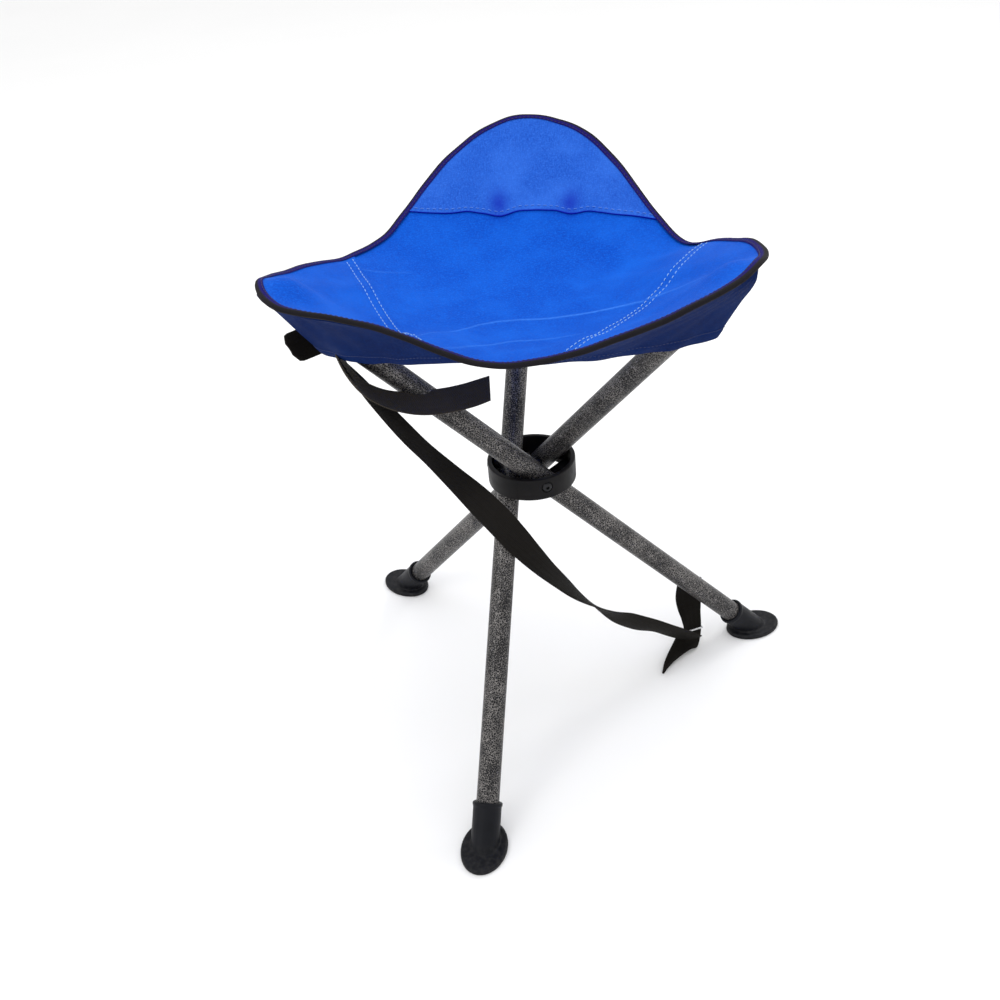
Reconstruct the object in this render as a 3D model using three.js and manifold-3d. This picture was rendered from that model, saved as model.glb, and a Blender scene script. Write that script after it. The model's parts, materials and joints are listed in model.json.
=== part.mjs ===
// A folding three-legged camp stool. Three tubes cross in a hub ring, each on its own radial bolt,
// and a fabric seat is stretched over their top ends. Units are millimetres, +Z is up, and the
// rubber feet stand on z = 0. The origin is the middle of the stool's footprint box.
import * as THREE from 'three';
import { mergeVertices } from 'three/addons/utils/BufferGeometryUtils.js';
import Module from 'manifold-3d';

const wasm = await Module();
wasm.setup();

const { degToRad } = THREE.MathUtils;

// ---------------------------------------------------------------- driving dimensions

const GAP = 0.3; // clearance between neighbouring solids

const TUBE_RADIUS = 9.5;
const TUBE_WALL = 1.2;
const TUBE_UP = 272; // from the pivot to the tube's upper end
const TUBE_DOWN = 303; // from the pivot to the tube's lower end
const LEG_LEAN = degToRad(41.3); // tilt of an open leg from the vertical
const PIVOT_HEIGHT = 240;
const PIVOT_OFFSET = 18.7; // from the hub's centre to each tube's axis

// Each leg is named by the side that its foot stands on. Its top is at the opposite seat corner.
const FIRST_PIVOT_AZIMUTH = -65.5;
const LEGS = ['right', 'left', 'front'];
const LEG_STEP = 360 / LEGS.length;

const HUB_RADIUS = 37.7;
const HUB_WALL = 4.2;
const HUB_HEIGHT = 20;
const HUB_DROP = 1.2; // the ring's mid-height is this much below the pivots
const HUB_EDGE = 1.2; // rounding of the ring's edges
const WEB_THICKNESS = 5; // the web across the bottom of the ring
const WEB_CLEARANCE = 0.8; // between a tube, anywhere in its travel, and its slot in the web
const FOLD_ANGLE = degToRad(35); // how far a leg folds in from its open lean

const BOLT_RADIUS = 2.4;
const BOLT_HOLE_RADIUS = BOLT_RADIUS + GAP;
const BOLT_HEAD_RADIUS = 4.4;
const BOLT_HEAD_HEIGHT = 2.6;
const BOLT_SOCKET_RADIUS = 1.75;
const COUNTERBORE_RADIUS = BOLT_HEAD_RADIUS + 0.5;
const COUNTERBORE_FLOOR = 35.9; // distance of the counterbore's floor from the hub's centre
const NUT_RADIUS = 4.6; // over the corners of the hexagon
const NUT_HEIGHT = 3.9;
const NUT_COLLAR_RADIUS = 3.7;
const NUT_COLLAR_HEIGHT = 1;
const SPACER_RADIUS = 5.5;
const SPACER_END = 32.7; // distance of the spacer's outer face from the hub's centre

const SLEEVE_RADIUS = 11.9;
const SLEEVE_LENGTH = 38; // along the tube, from the floor
const SLEEVE_LIP = 0.7;
const SOLE_LENGTH = 54;
const SOLE_WIDTH = 39;
const SOLE_HEIGHT = 4.5;

const PANEL_THICKNESS = 2;
const PATCH_THICKNESS = 1;
const PATCH_LIFT = 1; // keeps the flat facets of patch and panel apart on the curved surface
const POCKET_THICKNESS = 1.6;
const BOWL_HEIGHT = 390; // the seat's lowest point, at its centre
const CORNER_HEIGHT = 478;
const CORNER_RADIUS = 209;
const SIDE_HEIGHT = 416;
const SIDE_RADIUS = 148;
const CORNER_AZIMUTH = 90; // of the rear corner
const CORNERS = { rear: 0, left: 1, right: 2 };
const FLAP_START = 0.6; // share of the radius where the bowl turns into the straight corner flap
const FLAP_START_RISE = 0.36; // share of the rise that the bowl has reached there
const SEAM_DISTANCE = 121; // of a corner patch's straight inner seam from the centre
const BINDING_LIP = 7.5; // how far the edge tape reaches in over the fabric
const BINDING_WALL = 1.1;
const TAPE_CLEARANCE = 12; // patches and pockets end this far inside the panel's edge

const WEBBING_WIDTH = 25;
const WEBBING_THICKNESS = 1.5;
const RIVET_HEAD_RADIUS = 4.5;
const RIVET_RADIUS = 1.8;
const RIVET_DROP = 226; // along the tube, from the pivot to the rivet

// ---------------------------------------------------------------- materials

function finish(color, roughness, metalness) {
  return () => new THREE.MeshStandardMaterial({ color, roughness, metalness });
}

const hammertone = finish(0x6a6660, 0.42, 0.55);
const blackPlastic = finish(0x17171a, 0.5, 0);
const rubber = finish(0x1c1d22, 0.62, 0);
const steel = finish(0x2a2a2d, 0.4, 0.8);
const brightSteel = finish(0xb9bbbf, 0.3, 1);
const blueFabric = finish(0x1450dc, 0.85, 0);
const navyFabric = finish(0x1a3468, 0.85, 0);
const edgeTape = finish(0x24202f, 0.8, 0);
const webbing = finish(0x202023, 0.85, 0);

// ---------------------------------------------------------------- solids

function toManifold(geometry) {
  const bare = geometry.clone();
  bare.deleteAttribute('normal');
  bare.deleteAttribute('uv');
  const merged = mergeVertices(bare, 1e-4);
  return new wasm.Manifold(
    new wasm.Mesh({
      numProp: 3,
      vertProperties: Float32Array.from(merged.attributes.position.array),
      triVerts: Uint32Array.from(merged.index.array),
    }),
  );
}

function toGeometry(manifold) {
  const mesh = manifold.getMesh();
  const geometry = new THREE.BufferGeometry();
  geometry.setAttribute('position', new THREE.BufferAttribute(mesh.vertProperties, 3));
  geometry.setIndex(new THREE.BufferAttribute(mesh.triVerts, 1));
  return geometry;
}

function join(first, ...others) {
  return toGeometry(others.reduce((sum, next) => sum.add(toManifold(next)), toManifold(first)));
}

function cut(body, ...tools) {
  return toGeometry(tools.reduce((rest, tool) => rest.subtract(toManifold(tool)), toManifold(body)));
}

// A solid of revolution about Z. The profile is a list of [radius, z] going up the outside.
function turned(profile, segments = 24) {
  const points = profile.map(([radius, z]) => new THREE.Vector2(radius, z));
  return new THREE.LatheGeometry(points, segments).rotateX(Math.PI / 2);
}

// The same solid lying along X, with each z of its profile now an x.
function turnedAlongX(profile, segments) {
  return turned(profile, segments).rotateY(Math.PI / 2);
}

function rod(radius, from, to, segments = 24) {
  return turned([[0, from], [radius, from], [radius, to], [0, to]], segments);
}

function rodAlongX(radius, from, to, segments = 16) {
  return rod(radius, from, to, segments).rotateY(Math.PI / 2);
}

function mesh(name, geometry, material) {
  const part = new THREE.Mesh(geometry, material());
  part.name = name;
  return part;
}

// ---------------------------------------------------------------- legs and hub

// Two nested frames for each leg. In the upright one X points out along the pivot bolt, Y to the
// foot and Z up, from the hub's axis on the floor. In the leaning one Z runs up the tube's axis.
function legFrames(index) {
  const upright = new THREE.Group();
  upright.rotation.z = degToRad(FIRST_PIVOT_AZIMUTH + LEG_STEP * index);
  const leaning = new THREE.Group();
  leaning.position.set(PIVOT_OFFSET, 0, PIVOT_HEIGHT);
  leaning.rotation.x = LEG_LEAN;
  upright.add(leaning);
  return { upright, leaning };
}

function tube(name, hasRivet) {
  const outside = rod(TUBE_RADIUS, -TUBE_DOWN, TUBE_UP);
  const bore = rod(TUBE_RADIUS - TUBE_WALL, -TUBE_DOWN - 1, TUBE_UP + 1);
  const tools = [bore, rodAlongX(BOLT_HOLE_RADIUS, -TUBE_RADIUS - 1, TUBE_RADIUS + 1)];
  if (hasRivet) {
    tools.push(rodAlongX(RIVET_RADIUS + GAP, -TUBE_RADIUS - 1, 0).translate(0, 0, -RIVET_DROP));
  }
  return mesh(name, cut(outside, ...tools), hammertone);
}

function endPlug(name) {
  const stemRadius = TUBE_RADIUS - TUBE_WALL - GAP;
  const capBase = TUBE_UP + GAP;
  const profile = [
    [0, TUBE_UP - 16],
    [stemRadius, TUBE_UP - 16],
    [stemRadius, capBase],
    [TUBE_RADIUS, capBase],
    [TUBE_RADIUS - 0.6, capBase + 1.6],
    [TUBE_RADIUS - 3, capBase + 2.7],
    [0, capBase + 3],
  ];
  return mesh(name, turned(profile), blackPlastic);
}

// The rubber foot: a sleeve round the tube's end on an oval sole that lies flat on the floor.
function foot(name) {
  const sole = turned([
    [0, 0],
    [0.96, 0],
    [1, 0.8],
    [1, SOLE_HEIGHT - 1.5],
    [0.93, SOLE_HEIGHT],
    [0, SOLE_HEIGHT],
  ], 32).scale(SOLE_WIDTH / 2, SOLE_LENGTH / 2, 1);
  const sleeve = turned([
    [0, -SLEEVE_RADIUS - 6],
    [SLEEVE_RADIUS, -SLEEVE_RADIUS - 6],
    [SLEEVE_RADIUS, SLEEVE_LENGTH - 3.6],
    [SLEEVE_RADIUS + SLEEVE_LIP, SLEEVE_LENGTH - 2.8],
    [SLEEVE_RADIUS + SLEEVE_LIP, SLEEVE_LENGTH - 0.8],
    [SLEEVE_RADIUS, SLEEVE_LENGTH],
    [0, SLEEVE_LENGTH],
  ]).rotateX(LEG_LEAN);
  const tubeEnd = PIVOT_HEIGHT / Math.cos(LEG_LEAN) - TUBE_DOWN;
  const socket = rod(TUBE_RADIUS + GAP, tubeEnd - GAP, SLEEVE_LENGTH + 5).rotateX(LEG_LEAN);
  const underFloor = new THREE.BoxGeometry(200, 200, 60).translate(0, 0, -30);
  const part = mesh(name, cut(join(sole, sleeve), underFloor, socket), rubber);
  part.position.set(PIVOT_OFFSET, PIVOT_HEIGHT * Math.tan(LEG_LEAN), 0);
  return part;
}

function hubRing() {
  const inner = HUB_RADIUS - HUB_WALL;
  const bottom = PIVOT_HEIGHT - HUB_DROP - HUB_HEIGHT / 2;
  const top = bottom + HUB_HEIGHT;
  const ring = turned([
    [inner, bottom],
    [HUB_RADIUS - HUB_EDGE, bottom],
    [HUB_RADIUS, bottom + HUB_EDGE],
    [HUB_RADIUS, top - HUB_EDGE],
    [HUB_RADIUS - HUB_EDGE, top],
    [inner, top],
    [inner, bottom],
  ], 48);
  // A web closes the bottom of the ring, apart from a slot for each tube to swing in.
  const drop = PIVOT_HEIGHT - bottom;
  const openReach = drop * Math.tan(LEG_LEAN) + TUBE_RADIUS / Math.cos(LEG_LEAN);
  const foldedLean = LEG_LEAN - FOLD_ANGLE;
  const foldedReach = TUBE_RADIUS / Math.cos(foldedLean) - (drop - WEB_THICKNESS) * Math.tan(foldedLean);
  const slotLength = openReach + foldedReach + 2 * WEB_CLEARANCE;
  const slots = LEGS.map((leg, index) => (
    new THREE.BoxGeometry(2 * (TUBE_RADIUS + WEB_CLEARANCE), slotLength, 20)
      .translate(PIVOT_OFFSET, (openReach - foldedReach) / 2, bottom)
      .rotateZ(degToRad(FIRST_PIVOT_AZIMUTH + LEG_STEP * index))
  ));
  const web = cut(rod(inner + 1, bottom, bottom + WEB_THICKNESS, 48), ...slots);
  const tools = LEGS.flatMap((leg, index) => {
    const turn = degToRad(FIRST_PIVOT_AZIMUTH + LEG_STEP * index);
    const hole = rodAlongX(BOLT_HOLE_RADIUS, inner - 2, HUB_RADIUS + 2);
    const counterbore = rodAlongX(COUNTERBORE_RADIUS, COUNTERBORE_FLOOR, HUB_RADIUS + 2);
    return [hole, counterbore].map((tool) => tool.translate(0, 0, PIVOT_HEIGHT).rotateZ(turn));
  });
  return mesh('hub_ring', cut(join(ring, web), ...tools), blackPlastic);
}

// The bolt, its nut and its spacer lie along X in a leg's upright frame, at the pivot's height.
const BOLT_HEAD_START = COUNTERBORE_FLOOR + GAP;
const NUT_OUTER_FACE = PIVOT_OFFSET - TUBE_RADIUS - GAP;
const NUT_INNER_FACE = NUT_OUTER_FACE - NUT_HEIGHT - NUT_COLLAR_HEIGHT;

function pivotBolt(name) {
  const headEnd = BOLT_HEAD_START + BOLT_HEAD_HEIGHT;
  const bolt = turnedAlongX([
    [0, NUT_INNER_FACE - 1],
    [BOLT_RADIUS, NUT_INNER_FACE - 1],
    [BOLT_RADIUS, BOLT_HEAD_START],
    [BOLT_HEAD_RADIUS, BOLT_HEAD_START],
    [BOLT_HEAD_RADIUS, headEnd - 1],
    [BOLT_HEAD_RADIUS - 1.2, headEnd],
    [0, headEnd],
  ], 16);
  const hexSocket = rodAlongX(BOLT_SOCKET_RADIUS, headEnd - 1.7, headEnd + 1, 6);
  const part = mesh(name, cut(bolt, hexSocket), steel);
  part.position.z = PIVOT_HEIGHT;
  return part;
}

function lockNut(name) {
  const hexagon = rodAlongX(NUT_RADIUS, NUT_OUTER_FACE - NUT_HEIGHT, NUT_OUTER_FACE, 6);
  const collar = rodAlongX(NUT_COLLAR_RADIUS, NUT_INNER_FACE, NUT_OUTER_FACE - 1);
  const bore = rodAlongX(BOLT_HOLE_RADIUS, NUT_INNER_FACE - 1, NUT_OUTER_FACE + 1);
  const part = mesh(name, cut(join(hexagon, collar), bore), steel);
  part.position.z = PIVOT_HEIGHT;
  return part;
}

function spacer(name) {
  const start = PIVOT_OFFSET + TUBE_RADIUS + GAP;
  const profile = [
    [BOLT_HOLE_RADIUS, start],
    [SPACER_RADIUS, start],
    [SPACER_RADIUS, SPACER_END],
    [BOLT_HOLE_RADIUS, SPACER_END],
    [BOLT_HOLE_RADIUS, start],
  ];
  const part = mesh(name, turnedAlongX(profile, 16), blackPlastic);
  part.position.z = PIVOT_HEIGHT;
  return part;
}

function legParts(name, index) {
  const { upright, leaning } = legFrames(index);
  const isStrapLeg = name === 'right';
  leaning.add(tube(`tube_${name}`, isStrapLeg), endPlug(`end_plug_${name}`));
  upright.add(
    foot(`foot_${name}`),
    pivotBolt(`pivot_bolt_${name}`),
    lockNut(`lock_nut_${name}`),
    spacer(`spacer_${name}`),
  );
  if (isStrapLeg) {
    leaning.add(strapRivet());
  }
  return upright;
}

// ---------------------------------------------------------------- the seat's surface

// A closed solid from a grid of vertices: the skin at the normals' side, the skin at the other
// side, and a wall round the border.
function shell(surface, uCount, vCount, low, high) {
  const positions = [];
  for (const offset of [low, high]) {
    for (let j = 0; j <= vCount; j += 1) {
      for (let i = 0; i <= uCount; i += 1) {
        const { point, normal } = surface(i / uCount, j / vCount);
        point.addScaledVector(normal, offset);
        positions.push(point.x, point.y, point.z);
      }
    }
  }
  const row = uCount + 1;
  const layer = row * (vCount + 1);
  const triangles = [];
  const quad = (a, b, c, d) => triangles.push(a, b, c, a, c, d);
  for (let j = 0; j < vCount; j += 1) {
    for (let i = 0; i < uCount; i += 1) {
      const a = j * row + i;
      quad(layer + a, layer + a + 1, layer + a + row + 1, layer + a + row);
      quad(a, a + row, a + row + 1, a + 1);
    }
  }
  for (let i = 0; i < uCount; i += 1) {
    const far = vCount * row + i;
    quad(i, i + 1, layer + i + 1, layer + i);
    quad(far + 1, far, layer + far, layer + far + 1);
  }
  for (let j = 0; j < vCount; j += 1) {
    const left = j * row;
    const right = left + uCount;
    quad(left + row, left, layer + left, layer + left + row);
    quad(right, right + row, layer + right + row, layer + right);
  }
  const geometry = new THREE.BufferGeometry();
  geometry.setAttribute('position', new THREE.Float32BufferAttribute(positions, 3));
  geometry.setIndex(triangles);
  return geometry;
}

// Adds the normal to a surface that is given as points alone.
function withNormal(pointAt) {
  const step = 1e-3;
  return (u, v) => {
    const alongU = pointAt(u + step, v).sub(pointAt(u - step, v));
    const alongV = pointAt(u, v + step).sub(pointAt(u, v - step));
    return { point: pointAt(u, v), normal: alongU.cross(alongV).normalize() };
  };
}

// The panel's edge, by the angle from a corner. The third harmonic makes the three corners, and
// the ninth blunts them.
const EDGE_BLUNTING = 2;
const EDGE_NARROWING = 1;
const EDGE_DIP = 3.7;

function edgeRadius(angle) {
  const middle = (CORNER_RADIUS + SIDE_RADIUS) / 2 - EDGE_NARROWING;
  const swing = (CORNER_RADIUS - SIDE_RADIUS) / 2 + EDGE_BLUNTING;
  return middle
    + swing * Math.cos(3 * angle)
    + EDGE_NARROWING * Math.cos(6 * angle)
    - EDGE_BLUNTING * Math.cos(9 * angle);
}

function edgeHeight(angle) {
  const middle = (CORNER_HEIGHT + SIDE_HEIGHT) / 2 - EDGE_DIP;
  const swing = (CORNER_HEIGHT - SIDE_HEIGHT) / 2;
  return middle + swing * Math.cos(3 * angle) + EDGE_DIP * Math.cos(6 * angle);
}

// The share of the height gained from the centre to the edge: a bowl, then a straight flap.
function rise(share) {
  if (share > FLAP_START) {
    return FLAP_START_RISE + (1 - FLAP_START_RISE) * (share - FLAP_START) / (1 - FLAP_START);
  }
  const power = (FLAP_START * (1 - FLAP_START_RISE)) / (FLAP_START_RISE * (1 - FLAP_START));
  return FLAP_START_RISE * Math.max(share / FLAP_START, 0) ** power;
}

// A point on the panel's underside, by the angle from the rear corner and the distance from the
// seat's centre.
function seatPoint(angle, radius) {
  const azimuth = degToRad(CORNER_AZIMUTH) + angle;
  const height = BOWL_HEIGHT + (edgeHeight(angle) - BOWL_HEIGHT) * rise(radius / edgeRadius(angle));
  return new THREE.Vector3(radius * Math.cos(azimuth), radius * Math.sin(azimuth), height);
}

function seatNormal(angle, radius) {
  const turn = 0.5 / Math.max(radius, 1);
  const outward = seatPoint(angle, radius + 0.5).sub(seatPoint(angle, Math.max(radius - 0.5, 0)));
  const around = seatPoint(angle + turn, radius).sub(seatPoint(angle - turn, radius));
  return outward.cross(around).normalize();
}

function seatSurface(angle, radius) {
  return { point: seatPoint(angle, radius), normal: seatNormal(angle, radius) };
}

const PANEL_GRID = 20; // cells along each side of the square that is mapped onto the panel

function seatPanel() {
  // Squares nested about the centre become rings, so the grid has no pole.
  const surface = (u, v) => {
    const x = 2 * u - 1;
    const y = 2 * v - 1;
    const share = Math.max(Math.abs(x), Math.abs(y));
    if (share < 1e-9) {
      return { point: seatPoint(0, 0), normal: new THREE.Vector3(0, 0, 1) };
    }
    const flatter = Math.abs(x) >= Math.abs(y);
    const turn = flatter ? (Math.PI / 4) * (y / x) : Math.PI / 2 - (Math.PI / 4) * (x / y);
    const backward = flatter ? x < 0 : y < 0;
    const angle = backward ? turn + Math.PI : turn;
    return seatSurface(angle, share * edgeRadius(angle));
  };
  return mesh('seat_panel', shell(surface, PANEL_GRID, PANEL_GRID, 0, PANEL_THICKNESS), blueFabric);
}

function cornerAngle(corner) {
  return degToRad(LEG_STEP * CORNERS[corner]);
}

// The second layer on top of each corner, from a straight seam out to the edge tape.
function cornerPatch(corner) {
  const halfAngle = degToRad(35);
  const surface = (u, v) => {
    const local = halfAngle * (1 - 2 * u);
    const seam = SEAM_DISTANCE / Math.cos(local);
    const outer = edgeRadius(local) - TAPE_CLEARANCE;
    return seatSurface(cornerAngle(corner) + local, THREE.MathUtils.lerp(seam, outer, v));
  };
  const low = PANEL_THICKNESS + PATCH_LIFT;
  return mesh(`patch_${corner}_corner`, shell(surface, 12, 5, low, low + PATCH_THICKNESS), blueFabric);
}

// The pocket under each corner takes the tube's end. Its sides hang from the panel's edge, and
// between them it follows a ridge that goes down round the tube's end and back along the tube.
const POCKET_START = degToRad(4);
const POCKET_END = degToRad(50);
const RIDGE = [[197, 463.5], [201, 452], [198.5, 443], [188, 427], [167, 399]]; // [radius, z]

function cornerPocket(corner) {
  const middle = cornerAngle(corner);
  const azimuth = degToRad(CORNER_AZIMUTH) + middle;
  const ridge = new THREE.CatmullRomCurve3(
    RIDGE.map(([radius, z]) => new THREE.Vector3(radius * Math.cos(azimuth), radius * Math.sin(azimuth), z)),
  );
  const hungFrom = (angle) => {
    const radius = edgeRadius(angle) - TAPE_CLEARANCE;
    return seatPoint(middle + angle, radius).addScaledVector(seatNormal(middle + angle, radius), -2.4);
  };
  const pointAt = (u, v) => {
    const side = 2 * u - 1;
    const halfAngle = THREE.MathUtils.lerp(POCKET_START, POCKET_END, v);
    const bottom = ridge.getPoint(THREE.MathUtils.clamp(v, 0, 1));
    return bottom.lerp(hungFrom(side < 0 ? halfAngle : -halfAngle), Math.abs(side) ** 1.3);
  };
  const geometry = shell(withNormal(pointAt), 14, 8, 0, POCKET_THICKNESS);
  return mesh(`pocket_${corner}_corner`, geometry, navyFabric);
}

// ---------------------------------------------------------------- tape and webbing

// A solid swept through rings of vertices that run anticlockwise about the direction of travel.
function swept(rings, isClosed) {
  const sides = rings[0].length;
  const positions = rings.flat().flatMap((point) => [point.x, point.y, point.z]);
  const triangles = [];
  const ringCount = isClosed ? rings.length : rings.length - 1;
  for (let i = 0; i < ringCount; i += 1) {
    const here = i * sides;
    const next = ((i + 1) % rings.length) * sides;
    for (let k = 0; k < sides; k += 1) {
      const after = (k + 1) % sides;
      triangles.push(here + k, here + after, next + after);
      triangles.push(here + k, next + after, next + k);
    }
  }
  if (!isClosed) {
    const last = (rings.length - 1) * sides;
    for (let k = 1; k < sides - 1; k += 1) {
      triangles.push(0, k + 1, k);
      triangles.push(last, last + k, last + k + 1);
    }
  }
  const geometry = new THREE.BufferGeometry();
  geometry.setAttribute('position', new THREE.Float32BufferAttribute(positions, 3));
  geometry.setIndex(triangles);
  return geometry;
}

// The tape folded round the panel's edge, a C in section.
function edgeBinding() {
  const slack = 0.45; // between the tape and the layers inside it
  const section = [ // [outward, up] from the edge of the panel's underside
    [-BINDING_LIP, -slack - BINDING_WALL],
    [-BINDING_LIP, -slack],
    [slack, -slack],
    [slack, PANEL_THICKNESS + slack],
    [-BINDING_LIP, PANEL_THICKNESS + slack],
    [-BINDING_LIP, PANEL_THICKNESS + slack + BINDING_WALL],
    [slack + BINDING_WALL, PANEL_THICKNESS + slack + BINDING_WALL],
    [slack + BINDING_WALL, -slack - BINDING_WALL],
  ];
  const steps = 4 * PANEL_GRID;
  const rings = [];
  for (let i = 0; i < steps; i += 1) {
    const angle = (2 * Math.PI * i) / steps;
    const edge = seatPoint(angle, edgeRadius(angle));
    const normal = seatNormal(angle, edgeRadius(angle));
    const step = 1e-3;
    const along = seatPoint(angle + step, edgeRadius(angle + step))
      .sub(seatPoint(angle - step, edgeRadius(angle - step)))
      .normalize();
    const outward = along.clone().cross(normal).normalize();
    rings.push(section.map(([out, up]) => (
      edge.clone().addScaledVector(outward, out).addScaledVector(normal, up)
    )));
  }
  return mesh('edge_binding', swept(rings, true), edgeTape);
}

// A flat strap along hand-laid points. Each entry is [x, y, z] with the direction of its width.
function strap(name, route, stepsPerSpan = 3) {
  const curve = new THREE.CatmullRomCurve3(route.map(([point]) => new THREE.Vector3(...point)));
  const widths = route.map(([, wide]) => new THREE.Vector3(...wide));
  const spans = route.length - 1;
  const rings = [];
  for (let i = 0; i <= spans * stepsPerSpan; i += 1) {
    const place = i / stepsPerSpan;
    const span = Math.min(Math.floor(place), spans - 1);
    const centre = curve.getPoint(place / spans);
    const travel = curve.getTangent(place / spans);
    const wide = widths[span].clone().lerp(widths[span + 1], place - span);
    wide.addScaledVector(travel, -wide.dot(travel)).normalize();
    const thick = travel.clone().cross(wide);
    rings.push([[1, 1], [-1, 1], [-1, -1], [1, -1]].map(([w, t]) => (
      centre.clone()
        .addScaledVector(wide, (w * WEBBING_WIDTH) / 2)
        .addScaledVector(thick, (t * WEBBING_THICKNESS) / 2)
    )));
  }
  return mesh(name, swept(rings, false), webbing);
}

// From the left corner's pocket the long strap hangs down in front of the front leg, turns edge
// on and reaches the slider near the right foot.
function carryStrap() {
  const across = [0.8, 0.3, 0.5];
  return strap('carry_strap', [
    [[-126, -95, 388], [1, 0.3, 0.2]],
    [[-119, -92, 372], [1, 0.3, 0.4]],
    [[-108, -88.5, 356], across],
    [[-88.7, -82.7, 324], across],
    [[-57.3, -73.3, 277.4], across],
    [[-18.6, -62.5, 222.7], across],
    [[10.4, -42, 162.3], [0.7, 0.5, 0.6]],
    [[29.6, -27, 124.7], [0.5, 0.3, 0.8]],
    [[48.5, -12.9, 95.1], [0, 0, 1]],
    [[71.2, 3.4, 68.3], [-0.5, 0, 1]],
    [[94.1, 19.8, 46], [-0.6, 0.4, 0.8]],
    [[112, 33, 30], [-0.7, 0.6, 0.4]],
  ]);
}

// The short webbing on the right leg hangs behind the tube, goes through the slider, and its
// free tail comes forward and lies on the floor.
const STRAP_LEG_DIRECTION = [0.91, 0.415, 0];

function legWebbing() {
  const route = [
    [[134.3, 52.3, 84], STRAP_LEG_DIRECTION],
    [[135.6, 52.9, 62], STRAP_LEG_DIRECTION],
    [[137, 53.2, 40], STRAP_LEG_DIRECTION],
    [[137.7, 52.5, 18], STRAP_LEG_DIRECTION],
    [[135.5, 44.5, 7], [0.95, -0.2, 0]],
    [[127, 31, 2.6], [0.9, -0.4, 0]],
    [[117.5, 17, 1.6], [0.9, -0.45, 0]],
    [[110.5, 3, 1.6], [0.9, -0.4, 0]],
  ];
  const axisFromOrigin = degToRad(FIRST_PIVOT_AZIMUTH);
  const holeLength = 30;
  const hole = rodAlongX(RIVET_RADIUS + GAP, -holeLength, 0)
    .translate(0, 0, -RIVET_DROP)
    .rotateX(LEG_LEAN)
    .translate(PIVOT_OFFSET, 0, PIVOT_HEIGHT)
    .rotateZ(axisFromOrigin);
  const part = strap('leg_webbing', route);
  part.geometry = cut(part.geometry, hole);
  return part;
}

// The rivet that holds the webbing to the back of the right tube, in the tube's leaning frame.
function strapRivet() {
  const webbingSide = TUBE_RADIUS + 3.4;
  const blindSide = TUBE_RADIUS - TUBE_WALL - 0.8;
  const rivet = turnedAlongX([
    [0, -webbingSide - 1.6],
    [RIVET_HEAD_RADIUS - 1.2, -webbingSide - 1.6],
    [RIVET_HEAD_RADIUS, -webbingSide],
    [RIVET_RADIUS, -webbingSide],
    [RIVET_RADIUS, -blindSide],
    [RIVET_RADIUS + 1, -blindSide],
    [RIVET_RADIUS + 0.6, -blindSide + 2.3],
    [0, -blindSide + 2.7],
  ], 20);
  const part = mesh('strap_rivet', rivet, brightSteel);
  part.position.z = -RIVET_DROP;
  return part;
}

// The metal loop at the long strap's end, round the hanging webbing.
function strapSlider() {
  const bar = 1.8;
  const windowWidth = WEBBING_WIDTH + 1.6;
  const windowDepth = 4.8;
  const frame = new THREE.BoxGeometry(windowWidth + 2 * bar, windowDepth + 2 * bar, 2);
  const opening = new THREE.BoxGeometry(windowWidth, windowDepth, 6);
  const part = mesh('strap_slider', cut(frame, opening), brightSteel);
  part.position.set(138, 51.7, 22);
  part.rotation.z = Math.atan2(STRAP_LEG_DIRECTION[1], STRAP_LEG_DIRECTION[0]);
  return part;
}

// The strap that ties the folded legs, stretched out from the left pocket across the right tube.
function closingStrap() {
  return strap('closing_strap', [
    [[-124, -105.5, 392], [1, 0.4, 0.5]],
    [[-120.1, -103.5, 386], [1, 0.4, 0.6]],
    [[-110.8, -98.5, 371], [0.7, 0.3, 0.9]],
    [[-96.8, -90.5, 356.3], [0.3, 0.1, 1]],
    [[-76.4, -79, 348.5], [0, 0, 1]],
    [[-55.3, -67.5, 343.9], [-0.1, -0.1, 1]],
    [[-38.6, -58.5, 343], [-0.1, -0.1, 1]],
    [[-22.3, -50, 343.2], [-0.1, -0.1, 1]],
  ]);
}

function closingTab() {
  return strap('closing_tab', [
    [[-143, -70, 385], [0.2, -0.1, 1]],
    [[-151, -75, 388], [0.2, -0.1, 1]],
    [[-161, -80, 393], [0.2, -0.1, 1]],
    [[-171, -84, 397], [0.2, -0.1, 1]],
  ]);
}

// ---------------------------------------------------------------- the whole stool

const stool = new THREE.Group();
LEGS.forEach((name, index) => stool.add(legParts(name, index)));
stool.add(hubRing(), seatPanel(), edgeBinding());
Object.keys(CORNERS).forEach((corner) => stool.add(cornerPatch(corner), cornerPocket(corner)));
stool.add(carryStrap(), legWebbing(), strapSlider(), closingStrap(), closingTab());

// The hub's axis moves off the origin so that the origin is the middle of the footprint box.
const box = new THREE.Box3().setFromObject(stool, true);
stool.position.set(-(box.min.x + box.max.x) / 2, -(box.min.y + box.max.y) / 2, 0);

export default stool;
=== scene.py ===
# The looks of a folding camp stool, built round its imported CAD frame.
#
# Lengths are millimetres, measured from the hub's upright axis with z = 0 on the floor, and
# place() turns them into the frame's metres. Azimuths are degrees and turn from +X towards +Y.
import json
import math

import bmesh
import bpy
import numpy as np
from mathutils import Matrix, Vector


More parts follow.
